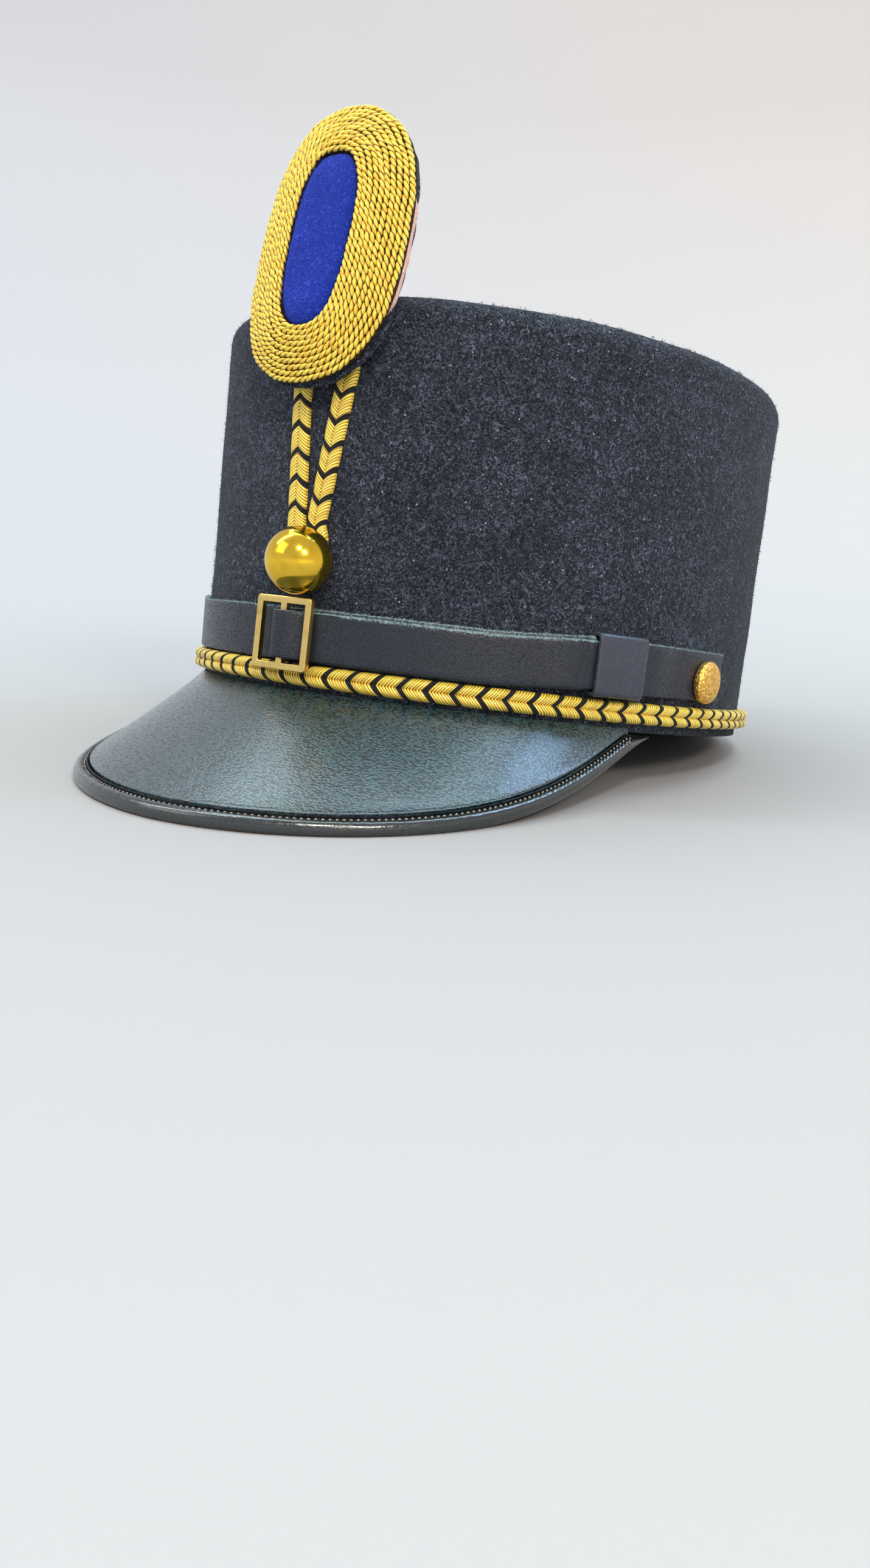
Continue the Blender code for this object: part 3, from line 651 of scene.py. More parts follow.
def grained_leather(name, tone, grain, depth, roughness, gloss, hollow):
    """Chrome-tanned leather, embossed: a pebble grain whose tops have a light semi-gloss, and
    painted shade in its hollows.

    The real pebbles are about 0.4 mm, too fine to show, so the peak's are drawn coarser.
    """
    made, add, at = start_finish(name)
    # The pebbles are longer across the cap, and run in rows that wander a little
    warp = add("TexNoise", {"Vector": at, "Scale": 1 / (5 * grain)}, "Color")
    moved = add("VectorMath", {0: warp, 1: (0.5 * grain,) * 3, 2: at}, operation="MULTIPLY_ADD")
    long = add("Mapping", {"Vector": moved, "Scale": (0.85, 1.15, 1.15)})
    pebbles = add("TexVoronoi", {"Vector": long, "Scale": 1 / grain}, feature="F1")
    high = add("Math", {0: 1.0, 1: pebbles}, operation="SUBTRACT")
    raised = add("MapRange", {0: high, 1: 0.30, 2: 0.56}, **SMOOTH)
    fine = add("TexNoise", {"Vector": at, "Scale": 1 / (0.3 * grain), "Detail": 3})
    creases = add("TexNoise", {
        "Vector": at, "Scale": 1 / (20 * MM), "Detail": 1, "Distortion": 0.5,
    })
    scuffs = add("TexNoise", {"Vector": at, "Scale": 1 / (5 * MM), "Detail": 6, "Roughness": 0.7})
    worn = add("MapRange", {0: scuffs, 1: 0.42, 2: 0.72}, **SMOOTH)
    # The dye took unevenly: greener in places, more violet in others
    dyed = add("MapRange", {0: creases, 1: 0.38, 2: 0.62}, **SMOOTH)
    green, violet = tinted(tone, 0.85, 1.06, 0.95), tinted(tone, 1.12, 0.97, 1.08)
    look = add("Mix", {0: dyed, 6: green, 7: violet}, **COLOURED)
    look = add("Mix", {0: worn, 6: look, 7: tinted(tone, 1.4, lift=0.003)}, **COLOURED)
    # Painted shade: the hollows between the pebbles are darkened to a share of the tone
    look = add("Mix", {0: raised, 6: tinted(tone, hollow), 7: look}, **COLOURED)
    # Wax fills the hollows, so that only the tops of the pebbles shine
    waxed = add("MapRange", {0: raised, 3: 1.7 * roughness, 4: roughness - 0.05})
    uneven = add("Math", {0: worn, 1: 0.06, 2: waxed}, operation="MULTIPLY_ADD")
    height = add("Math", {0: fine, 1: 0.35, 2: high}, operation="MULTIPLY_ADD")
    soft = add("Bump", {"Height": creases, "Distance": 0.6 * MM, "Strength": 0.3})
    bumps = add("Bump", {"Height": height, "Distance": depth, "Strength": 0.8, "Normal": soft})
    return finished(made, {
        "Base Color": look, "Normal": bumps, "Roughness": uneven, "Specular IOR Level": gloss,
        "Coat Weight": 0.45 * gloss, "Coat Roughness": 0.2,
    })


def cut_leather(name, tone):
    """A raw cut edge: the undyed middle of the hide, fibrous and matt, with painted shade on its
    faces that turn downward.
    """
    made, add, at = start_finish(name)
    # Painted shade: faces that turn downward fall to a near-black tone
    facing = add("SeparateXYZ", {0: add("TexCoord", {}, "Normal")}, "Z")
    up = add("MapRange", {0: facing, 1: -0.3, 2: 0.3})
    fibres = add("TexNoise", {"Vector": at, "Scale": 1 / (0.8 * MM), "Detail": 4, "Roughness": 0.7})
    factor = add("MapRange", {0: fibres, 1: 0.36, 2: 0.56}, **SMOOTH)
    look = add("Mix", {0: factor, 6: tinted(tone, 0.25), 7: tone}, **COLOURED)
    look = add("Mix", {0: up, 6: tinted(tone, 0.06), 7: look}, **COLOURED)
    relief = add("Bump", {"Height": fibres, "Distance": 0.15 * MM})
    return finished(made, {"Base Color": look, "Normal": relief, "Roughness": 0.9})


def soutache(name, colours, braid, pitch):
    """Soutache braid of metallised thread: slanted gold threads and matt dark stripes, in two rows,
    with painted shade in the gaps between threads and along the middle line.

    The real threads are about 0.56 mm apart, too fine to show, so they are drawn coarser.
    """
    made, add, _ = start_finish(name)
    along, across, _ = add("SeparateXYZ", {0: add("UVMap", {}, uv_map="pattern")}).node.outputs
    off = add("Math", {0: across}, operation="ABSOLUTE")
    slanted = add("Math", {0: off, 1: -BRAID_SLANT, 2: along}, operation="MULTIPLY_ADD")
    turn = add("Math", {0: slanted, 1: 2 * pi / braid.thread}, operation="MULTIPLY")
    wave = add("Math", {0: turn}, operation="SINE")
    thread = add("MapRange", {0: wave, 1: -1.0, 2: -0.35}, **SMOOTH)
    # No two threads take the gilt alike
    steps = {"W": slanted, "Scale": 1.3 / braid.thread, "Detail": 1}
    own = add("TexNoise", steps, noise_dimensions="1D")
    own = add("MapRange", {0: own, 1: 0.38, 2: 0.56, 3: 0.52, 4: 1.35})
    # The threads dive under each other along the middle line, which is darkened there as painted
    # shade
    middle = add("MapRange", {0: off, 1: 0.10 * MM, 2: 0.45 * MM}, **SMOOTH)
    over = add("MapRange", {0: wave, 1: 0.0, 2: 0.8}, **SMOOTH)
    crossing = add("Math", {0: middle, 1: over}, operation="MAXIMUM")
    factor = add("Math", {0: thread, 1: crossing}, operation="MULTIPLY")
    factor = add("Math", {0: factor, 1: own}, operation="MULTIPLY")
    # Painted shade: where a thread dips or dives under, the gold gives way to a darker, more orange
    # colour
    deep = tinted(colours.gold_shade, 1.5)
    gold = add("Mix", {0: factor, 6: deep, 7: colours.gold}, **COLOURED)
    cell = add("Math", {0: slanted, 1: pitch}, operation="DIVIDE")
    cell = add("Math", {0: cell}, operation="FRACT")
    edge = add("Math", {0: cell, 1: 0.5}, operation="PINGPONG")
    half = braid.stripe / pitch / 2
    gilt = add("MapRange", {0: edge, 1: half - 0.02, 2: half + 0.01})
    look = add("Mix", {0: gilt, 6: colours.stripe, 7: gold}, **COLOURED)
    metal = add("Math", {0: gilt, 1: 0.05}, operation="MULTIPLY")
    matt = add("MapRange", {0: gilt, 3: 1.0, 4: 0.34})
    relief = add("Bump", {"Height": thread, "Distance": 0.3 * MM})
    return finished(made, {
        "Base Color": look, "Normal": relief, "Roughness": matt, "Metallic": metal,
        "Specular IOR Level": 0.7,
    })


def twisted_cord(name, colours):
    """Two-ply cord of metallised thread: fine threads along each ply, with painted shade in the
    creases between plies and near-black painted shade in the holes between rows.
    """
    made, add, at = start_finish(name)
    # UV across is turns round the cord, UV along is twists: their difference follows a ply
    around, twists, _ = add("SeparateXYZ", {0: add("UVMap", {}, uv_map="pattern")}).node.outputs
    ply = add("Math", {0: twists, 1: around}, operation="SUBTRACT")
    waves = []
    for turns in (ply, around):
        turn = add("Math", {0: turns, 1: 2 * pi}, operation="MULTIPLY")
        turn = add("Math", {0: turn}, operation="COSINE")
        waves.append(add("Math", {0: turn}, operation="ABSOLUTE"))
    lobe, side = waves
    phase = add("Math", {0: ply, 1: 22 * pi}, operation="MULTIPLY")
    phase = add("Math", {0: around, 1: 18 * pi, 2: phase}, operation="MULTIPLY_ADD")
    wave = add("Math", {0: phase}, operation="SINE")
    # Painted shade: the creases between the plies, and a little the lines between the fine threads,
    # fall to the shade colour
    crest = add("MapRange", {0: lobe, 1: 0.08, 2: 0.62}, **SMOOTH)
    threads = add("MapRange", {0: wave, 1: -1.0, 2: 1.0, 3: 0.7, 4: 1.0})
    factor = add("Math", {0: crest, 1: threads}, operation="MULTIPLY")
    worn = add("TexNoise", {"Vector": at, "Scale": 1 / (1.6 * MM), "Detail": 3})
    worn = add("MapRange", {0: worn, 1: 0.36, 2: 0.58}, **SMOOTH)
    deep = tinted(colours.gold, 0.93, 0.76, 0.50)
    lit = add("Mix", {0: worn, 6: deep, 7: colours.gold}, **COLOURED)
    look = add("Mix", {0: factor, 6: colours.gold_shade, 7: lit}, **COLOURED)
    # Painted shade: near-black holes where the sides of the cord meet the next row
    low = add("MapRange", {0: lobe, 1: 0.36, 2: 0.03}, **SMOOTH)
    beside = add("MapRange", {0: side, 1: 0.35, 2: 0.75}, **SMOOTH)
    hole = add("Math", {0: low, 1: beside}, operation="MULTIPLY")
    look = add("Mix", {0: hole, 6: look, 7: colours.stripe}, **COLOURED)
    relief = add("Bump", {"Height": wave, "Distance": 0.06 * MM, "Strength": 0.7})
    return finished(made, {
        "Base Color": look, "Normal": relief, "Roughness": 0.36, "Metallic": 0.3,
        "Specular IOR Level": 0.6,
    })


def brass(name, tone, roughness, scratch, patina):
    """Cast brass, brushed or polished, with a thin brown patina where hands don't reach."""
    made, add, at = start_finish(name)
    stretch = add("Mapping", {"Vector": at, "Scale": (1, 1, 0.06)})
    lines = add("TexNoise", {"Vector": stretch, "Scale": 1 / (0.25 * MM), "Detail": 3})
    spots = add("TexNoise", {"Vector": at, "Scale": 1 / (3 * MM), "Detail": 5})
    factor = add("MapRange", {0: spots, 1: 0.5, 2: 0.78, 4: patina}, **SMOOTH)
    look = add("Mix", {0: factor, 6: tone, 7: tinted(tone, 0.55, 0.42, 0.28)}, **COLOURED)
    uneven = add("Math", {0: spots, 1: 0.2, 2: roughness - 0.08}, operation="MULTIPLY_ADD")
    relief = add("Bump", {"Height": lines, "Distance": scratch, "Strength": 0.5})
    return finished(made, {
        "Base Color": look, "Normal": relief, "Roughness": uneven, "Metallic": 1.0,
    })


def pebbled_brass(name, tone):
    """Stamped brass with a plain pebbled face, dull in its hollows."""
    made, add, at = start_finish(name)
    cells = {"Vector": at, "Scale": 1 / (0.85 * MM), "Smoothness": 0.5}
    pebbles = add("TexVoronoi", cells, feature="SMOOTH_F1")
    high = add("Math", {0: 1.0, 1: pebbles}, operation="SUBTRACT")
    factor = add("MapRange", {0: high, 1: 0.35, 2: 0.75}, **SMOOTH)
    look = add("Mix", {0: factor, 6: tinted(tone, 0.75, 0.60, 0.40), 7: tone}, **COLOURED)
    relief = add("Bump", {"Height": high, "Distance": 0.35 * MM})
    return finished(made, {
        "Base Color": look, "Normal": relief, "Roughness": 0.45, "Metallic": 1.0,
    })


def waxed_thread(name, tone):
    """Waxed linen sewing thread: twisted, with a dull shine."""
    made, add, at = start_finish(name)
    twist = add("TexNoise", {"Vector": at, "Scale": 1 / (0.25 * MM), "Detail": 2})
    look = add("Mix", {0: twist, 6: tinted(tone, 0.3), 7: tone}, **COLOURED)
    relief = add("Bump", {"Height": twist, "Distance": 0.1 * MM})
    return finished(made, {"Base Color": look, "Normal": relief, "Roughness": 0.6})


def painted_backdrop(name, tone):
    """Matt painted studio cove, darker in the middle so that floor and wall look alike when lit."""
    made, add, at = start_finish(name)
    far = add("VectorMath", {0: at}, "Value", operation="LENGTH")
    near = add("MapRange", {0: far, 1: 0.0, 2: PAINT_REACH, 3: NEAR_PAINT, 4: FAR_PAINT})
    # Painted light: the paint is tinted cooler on one side of the studio and warmer on the other,
    # for cool and warm light
    aside = add("VectorMath", {0: at, 1: WARM_SIDE}, "Value", operation="DOT_PRODUCT")
    warm = add("MapRange", {0: aside, 1: -TINT_REACH, 2: TINT_REACH}, **SMOOTH)
    cool, sunny = tinted(tone, 0.90, 0.90, 0.93), tinted(tone, 1.0, 0.94, 0.90)
    look = add("Mix", {0: warm, 6: cool, 7: sunny}, **COLOURED)
    look = add("Mix", {0: near, 6: (0, 0, 0), 7: look}, **COLOURED)
    return finished(made, {"Base Color": look, "Roughness": 0.85, "Specular IOR Level": 0.2})


def strap_middle(scene, angle):
    """Height of the strap's middle line, which rises towards the side buttons."""
    bottom = BRAID_BOTTOM + scene.kepi_braid.width + STRAP_ABOVE_BRAID
    rise = smoothstep(STRAP_RISE_FROM, STRAP_RISE_TO, abs(angle))
    return bottom + scene.kepi_strap.width / 2 + STRAP_SIDE_RISE * rise


def strap_proud(wall, angle):
    """Distance from the wall to the strap's back: the keeper's inner side lifts it."""
    along = abs(angle - KEEPER_ANGLE) * wall.speed(KEEPER_ANGLE)
    near = 1 - smoothstep(KEEPER_LIFT_FULL, KEEPER_LIFT_END, along)
    return GAP + (KEEPER_THICKNESS + GAP) * near


def strap_end(wall):
    return SIDE_BUTTON_ANGLE + STRAP_PAST_BUTTON / wall.speed(SIDE_BUTTON_ANGLE)


def buckle_back(scene):
    return GAP + scene.kepi_braid.thickness + 2 * GAP


def tongue_rest(scene, wall, angle):
    """Distance from the wall to the middle of the tongue's leather where it lies on the strap."""
    s = scene.kepi_strap
    return strap_proud(wall, angle) + s.thickness + GAP + s.tongue_thickness / 2


def ball_height(scene):
    s = scene.kepi_strap
    return strap_middle(scene, BUCKLE_ANGLE) + s.buckle_height / 2 + BALL_ABOVE_BUCKLE + s.ball / 2


def peak_depth(s, angle):
    """How far the peak reaches from the wall at an angle, measured down its slope."""
    share = min(abs(angle) / s.end_angle, 1.0)
    return s.depth * (1 - share**PEAK_FULLNESS) ** PEAK_POINTEDNESS


def peak_angle(s, depth):
    """The angle at which the peak is this deep."""
    return s.end_angle * (1 - (depth / s.depth) ** (1 / PEAK_POINTEDNESS)) ** (1 / PEAK_FULLNESS)


def spread(end, share):
    """An angle from -end to end, in steps that get shorter towards both ends."""
    return end * sin(pi * (share - 0.5))


def on_peak(s, wall, angle, down, lift=0.0):
    """A point of the peak's upper side, its angle in radians: down its slope, and lifted off it."""
    slope = between(s.front_drop, s.side_drop, (angle / s.end_angle) ** 2)
    out = down * cos(slope) + lift * sin(slope)
    drop = down * sin(slope) - lift * cos(slope)
    turn = angle * 180 / pi
    return wall.point(turn, PEAK_SEAT) + wall.out(turn) * out - Vector((0, 0, drop))


def edge_section(s, angle):
    """(middle, width, thickness) of the rolled edge: it narrows where it runs under the rim."""
    depth = peak_depth(s, angle)
    width = min(s.edge_width, depth - EDGE_SEAT)
    return depth - width / 2, width, s.edge_thickness * width / s.edge_width


def on_edge(s, wall, angle, across, lift):
    """A point of the rolled edge: across and lift are shares of its width and thickness."""
    middle, width, thickness = edge_section(s, angle)
    above = EDGE_PROUD - s.edge_thickness / 2 + thickness * lift
    return on_peak(s, wall, angle, middle + width * across, above)


def loop_line(scene, share):
    """(along, height, width) of the loop's middle line, once round from its lowest point."""
    s = scene.kepi_braid
    bottom, left = ball_height(scene), share <= 0.5
    turn_radius = SHANK / 2 + GAP + LOOP_SHANK_WIDTH / 2
    rows = []
    for turn in (-pi / 2, -pi / 4, 0.0):
        rows.append((turn_radius * cos(turn), turn_radius * sin(turn), LOOP_SHANK_WIDTH))
    for height, left_spread, right_spread in LOOP_LEGS:
        along = LOOP_SPREAD * (left_spread if left else right_spread)
        rows.append((along, height * (LOOP_TOP - bottom), s.loop_width))
    rows.append((0.0, LOOP_TOP - bottom, s.loop_width))
    along, height, width = spline(rows, 2 * share if left else 2 - 2 * share)
    return BALL_OFF_CENTER + (along if left else -along), bottom + height, width


def on_cockade(scene, wall, x, up, lift):
    """A point of the cockade from its centre: across, up along it, and out from its back."""
    s, braid = scene.kepi_cockade, scene.kepi_braid
    up_way, out_way = Vector((0, sin(s.lean), cos(s.lean))), Vector((0, -cos(s.lean), sin(s.lean)))
    seat = wall.point(0, LOOP_TOP + braid.loop_width / 2, GAP + braid.loop_thickness + GAP)
    centre = (wall.height + COCKADE_ABOVE_TOP - seat.z) / cos(s.lean)
    bent = x * x / (2 * s.bend)
    flat = seat + Vector((COCKADE_OFF_CENTER + x, 0, 0)) + up_way * (centre + up)
    return flat + out_way * (lift - bent)


def field_edge(s, turn, out):
    """A point of the blue field's outline, or of the line this far outside it."""
    c, d = cos(turn), sin(turn)
    power = 2 / FIELD_SQUARENESS
    x = s.field_width / 2 * abs(c) ** power * (1 if c >= 0 else -1)
    y = s.field_length / 2 * abs(d) ** power * (1 if d >= 0 else -1)
    way = Vector((
        abs(c) ** (2 - power) * (1 if c >= 0 else -1) / s.field_width,
        abs(d) ** (2 - power) * (1 if d >= 0 else -1) / s.field_length,
    )).normalized()
    return x + way.x * out, y + way.y * out


def evened(share):
    """A turn for each share of the way round, set so that the long oval bends evenly."""
    return 2 * pi * share + 0.20 * sin(4 * pi * share)


def ring_lift(s, out):
    """Height of the gold ring over its own base, this far outside the blue field."""
    return RING_EDGE + s.ring_rise * (1 - min(max(out / s.ring_width, 0), 1) ** RING_FULLNESS)


def cockade_disc(
    scene, wall, rings, steps, uneven=0.0, grain=3 * MM, trim=lambda turn: 0.0
):
    """A closed piece of the cockade from rings of (out, shrink, lift), uneven at its edge."""
    s = scene.kepi_cockade

    def place(u, v):
        out, shrink, lift = row_at(rings, v)
        turn = evened(u)
        on_circle = (20 * cos(2 * pi * u) * MM, 20 * sin(2 * pi * u) * MM, 0)
        wander = rough(on_circle, uneven, grain) + trim(turn)
        x, y = field_edge(s, turn, out + wander * shrink)
        return on_cockade(scene, wall, x * shrink, y * shrink, lift)

    return outward(surface(steps, len(rings) - 1, place))


def plate_rings(edge, low, high, soft):
    """A flat ply with rounded edges: out to its edge below, and back above."""
    below = [(0, shrink) for shrink in (0.0, 0.35, 0.7, 1.0)]
    below += [(edge / 3, 1.0), (edge * 2 / 3, 1.0), (edge - soft, 1.0)]
    side = [(edge - 0.3 * soft, low + 0.3 * soft), (edge, low + soft)]
    side += [(edge, high - soft), (edge - 0.3 * soft, high - 0.3 * soft)]
    rings = [(out, shrink, low) for out, shrink in below]
    rings += [(out, 1.0, lift) for out, lift in side]
    return rings + [(out, shrink, high) for out, shrink in reversed(below)]


def once(name, make, *details):
    """A finish that several pieces share is made the first time it is asked for."""
    return bpy.data.materials.get(name) or make(name, *details)


def given(context, part):
    """What a piece is made from: the scene, the crown's wall, the part's sizes and the colours."""
    scene = context.scene
    return scene, Wall(scene), getattr(scene, "kepi_" + part), scene.kepi_colours


# Leathers: size and depth of the grain, roughness, gloss, and how light the hollows are, which are
# darkened as painted shade
LEATHERS = {
    "embossed_peak_leather": (0.80 * MM, 0.17 * MM, 0.24, 0.90, 0.08),
    "rolled_edge_leather": (0.70 * MM, 0.03 * MM, 0.17, 0.90, 0.50),
    "dyed_stitch_channel": (0.78 * MM, 0.05 * MM, 0.50, 0.20, 0.60),
    "smooth_strap_leather": (0.60 * MM, 0.10 * MM, 0.40, 0.42, 0.60),
    "burnished_keeper_leather": (0.60 * MM, 0.08 * MM, 0.32, 0.70, 0.60),
}


def leather(name, tone):
    """One of the leathers, in this tone."""
    return once(name, grained_leather, tone, *LEATHERS[name])


def satin_brass(colours):
    """The buckle's and the stud's brass."""
    roughness, scratch, patina = 0.27, 0.012 * MM, 0.55
    return once("satin_brass", brass, colours.brass, roughness, scratch, patina)


class KEPI_OT_crown(bpy.types.Operator):
    """The crown: one soft felt shell, hollow and open below"""

    bl_idname = "kepi.crown"
    bl_label = "Crown"

    def execute(self, context):
        _, wall, _, colours = given(context, "crown")
        straight = wall.height - wall.round
        around, up, bend, over = 288, 40, 8, 24
        rows = [(straight * step / up, 0.0, 1.0) for step in range(up + 1)]
        edge = arc((wall.round, straight), (-wall.round, wall.round), 0, pi / 2, bend)
        rows += [(height, inset, 1.0) for inset, height in edge[1:]]
        rows += [(wall.height, wall.round, step / over) for step in range(over - 1, -1, -1)]

        def place(u, v):
            height, inset, shrink = row_at(rows, v)
            angle = -180 + 360 * u
            point = wall.point(angle, height, -inset)
            middle = wall.point(0, height, -inset).lerp(wall.point(180, height, -inset), 0.5)
            point = middle.lerp(point, shrink)
            # The felt is a little uneven where nothing lies on it
            free = smoothstep(*FELT_FREE, height)
            uneven = rough(point, *FELT_WAVES) + rough(point, *FELT_LUMPS)
            way = wall.out(angle) if shrink == 1.0 and inset < wall.round / 2 else UP
            return point + way * min(uneven * free, FELT_MOST_PROUD)

        mesh = surface(around, len(rows) - 1, place)
        faces_out(mesh, lambda point: Vector((0, 0, wall.height / 2)))
        felt = once("milled_navy_felt", wool_felt, colours.felt, colours.felt_fibre)
        piece = settle("crown_felt", mesh, [felt], ["crown"], flat=True)
        shell = piece.modifiers.new("Thickness", "SOLIDIFY")
        shell.thickness = wall.felt
        shell.offset = -1
        return {"FINISHED"}


class KEPI_OT_nap(bpy.types.Operator):
    """Loose fibres that stand out of the crown's felt"""

    bl_idname = "kepi.nap"
    bl_label = "Crown's nap"

    def execute(self, context):
        scene, wall, s, colours = given(context, "crown")
        end = strap_end(wall)
        straight = wall.height - wall.round
        chance = Random(5)
        tufts = [(chance.uniform(-180, 180), chance.uniform(0.1, pi / 2)) for _ in range(TUFTS)]

        def start(chance):
            angle = chance.uniform(-180, 180)
            braid_top = BRAID_BOTTOM + scene.kepi_braid.width + MM
            strap_top = strap_middle(scene, angle) + scene.kepi_strap.width / 2 + MM
            low = strap_top if abs(angle) < end + 1 else braid_top
            way = wall.out(angle)
            if chance.random() < NAP_ON_WALL:
                return wall.point(angle, chance.uniform(low, straight), -NAP_ROOT), way
            share = chance.random()
            if share < NAP_ON_EDGE:
                turn = chance.uniform(0, pi / 2)
                if share < NAP_IN_TUFTS:
                    angle, turn = tufts[int(share / NAP_IN_TUFTS * TUFTS)]
                    angle += chance.uniform(-0.4, 0.4) * MM / wall.speed(angle)
                    way = wall.out(angle)
                height = straight + wall.round * sin(turn)
                way = (way * cos(turn) + UP * sin(turn)).normalized()
                return wall.point(angle, height, -wall.round * (1 - cos(turn)) - NAP_ROOT), way
            rim = wall.point(angle, wall.height, -wall.round)
            middle = wall.point(0, wall.height).lerp(wall.point(180, wall.height), 0.5)
            return middle.lerp(rim, sqrt(chance.random())) - UP * NAP_ROOT, UP

        mesh = ribbons(s.fibres, start, seed=11, length=s.nap, width=0.14 * MM, lift=2.4)
        dark, light = tinted(colours.felt_fibre, 0.3), tinted(colours.felt_fibre, 1.3)
        felt = once("loose_wool_fibre", wool_felt, dark, light)
        settle("crown_nap", mesh, [felt], [])
        return {"FINISHED"}


class KEPI_OT_peak(bpy.types.Operator):
    """The peak: a grained leather plate"""

    bl_idname = "kepi.peak"
    bl_label = "Peak"

    def execute(self, context):
        _, wall, s, colours = given(context, "peak")
        end = peak_angle(s, s.edge_width + EDGE_END_WIDTH)
        steps = 28
        rows = [(step / steps, 0.0) for step in range(steps)]
        # The plate's edge is pressed up into a low lip beside the roll
        rows += [(0.975, 0.05 * MM), (0.986, 0.20 * MM), (0.995, 0.15 * MM)]
        rows += [(1.0, -0.25 * MM), (1.0, -s.thickness)]
        rows += [(step / steps, -s.thickness) for step in range(steps - 1, -1, -1)]
        rows.append(rows[0])

        def place(u, v):
            angle = spread(end, u)
            share, lift = row_at(rows, v)
            slope = between(s.front_drop, s.side_drop, (angle / s.end_angle) ** 2)
            inner = GAP / cos(slope) - lift * sin(slope) / cos(slope)
            outer = peak_depth(s, angle) - s.edge_width - GAP
            point = on_peak(s, wall, angle, between(inner, outer, share), lift)
            away = smoothstep(0.0, 0.2, share) * smoothstep(1.0, 0.85, share)
            return point + Vector((0, 0, rough(point, *PEAK_WAVES) * away))

        mesh = closed(surface(110, len(rows) - 1, place))
        hide = leather("embossed_peak_leather", colours.peak)
        settle("peak_plate", mesh, [hide], ["peak"], sharp=40)
        return {"FINISHED"}


class KEPI_OT_peak_edge(bpy.types.Operator):
    """The peak's rolled leather edge and its row of stitches"""

    bl_idname = "kepi.peak_edge"
    bl_label = "Rolled edge"

    def execute(self, context):
        _, wall, s, colours = given(context, "peak")
        end = peak_angle(s, EDGE_SEAT + 0.3 * MM)
        rows = EDGE_SECTION
        line = Track(lambda u: on_edge(s, wall, spread(end, u), *CHANNEL_MIDDLE), 400)

        def place(u, v):
            angle = spread(end, u)
            across, lift = row_at(rows, v)
            # Between two stitches the roll's edge bulges over their channel
            near = 1 - smoothstep(0.04, 0.12, abs(across - BULGE_AT))
            bulge = cos(2 * pi * line.at(u) / s.stitch) * near
            point = on_edge(s, wall, angle, across - 0.05 * bulge, lift + 0.04 * bulge)
            pucker = rough(point, *ROLL_PUCKERS) * smoothstep(-0.3, 0.0, lift)
            return point + Vector((0, 0, pucker))

        mesh = closed(surface(1000, len(rows) - 1, place))
        # Painted shade: the faces of the stitches' channel get a near-black leather, for the shade
        # in the groove
        layer = mesh.loops.layers.uv["pattern"]
        for face in mesh.faces:
            middle = sum(loop[layer].uv.y for loop in face.loops) / len(face.loops)
            face.material_index = 1 if middle * (len(rows) - 1) < CHANNEL_ROWS else 0
        # Painted shade: the roll's leather is given a far darker tone than the plate's, standing in
        # for the darker reflection on its outward face
        hide = leather("rolled_edge_leather", tinted(colours.peak, 0.16))
        channel = leather("dyed_stitch_channel", tinted(colours.peak, 0.05))
        settle(
            "peak_rolled_edge", mesh, [hide, channel], ["peak_binding"],
            sharp=60, flat=True,
        )

        stitches = bmesh.new()
        for index in range(1, int(line.length / s.stitch)):
            share = line.share((index + 0.5) * s.stitch)
            angle = spread(end, share)
            if edge_section(s, angle)[1] < 0.8 * s.edge_width:
                continue
            here = on_edge(s, wall, angle, *STITCH_LINE)
            ahead = (on_edge(s, wall, angle + 0.004, *STITCH_LINE) - here).normalized()
            up = ahead.cross(on_edge(s, wall, angle, -0.18, STITCH_LINE[1]) - here).normalized()
            up = up if up.z > 0 else -up
            side = up.cross(ahead)
            turn = Matrix((ahead, side, up)).transposed().to_4x4()
            lie = Matrix.Translation(here) @ turn @ Matrix.Rotation(STITCH_SLANT, 4, "Z")
            shape = Matrix.Diagonal((STITCH_HALF_LENGTH * s.stitch, *STITCH_RADII, 1))
            bmesh.ops.create_icosphere(stitches, subdivisions=1, radius=1.0, matrix=lie @ shape)
        thread = once("waxed_linen_thread", waxed_thread, colours.thread)
        settle("peak_stitches", stitches, [thread], [], sharp=80)
        return {"FINISHED"}


def braid_section(steps):
    """(across, proud) round a braid of two rounded rows, as shares of its width and thickness."""
    rows = [(-0.5, 0.0)]
    for step in range(steps + 1):
        across = -0.5 + step / steps
        row = sin(pi * ((2 * across) % 1.0)) if step not in (0, steps // 2, steps) else 0.0
        low = 0.42 if abs(across) > 0.25 else 0.76
        rows.append((across, low + (1 - low) * row**0.6))
    return rows + [(0.5, 0.0), (-0.5, 0.0)]


def bundle(slanted, pitch):
    """How full a braid is along it: it swells between its dark stripes."""
    cell = (slanted / pitch) % 1.0
    return BRAID_WAIST + BRAID_SWELL * max(sin(pi * cell), 0.0) ** 0.5


def lay_braid(name, node, s, colours, line, width, narrow, lay):
    """A closed ring of soutache along a line. width(u) is its width, narrow the share of it that
    is left at a stripe, and lay(u, wide, proud) gives a point of it.
    """
    count = round(line.length / s.chevron)
    pitch = line.length / count
    rows = braid_section(16)

    def place(u, v):
        across, proud = row_at(rows, v)
        fill = bundle(line.at(u) - BRAID_SLANT * abs(across) * width(u), pitch)
        full = (fill - BRAID_WAIST) / BRAID_SWELL
        return lay(u, width(u) * across * between(narrow, 1, full), proud * fill)

    def pattern(u, v):
        return line.at(u), row_at(rows, v)[0] * width(u)

    mesh = closed(surface(14 * count, len(rows) - 1, place, pattern))
    gold = once("soutache_" + node, soutache, colours, s, pitch)
    settle(name, mesh, [gold], [node], sharp=80)


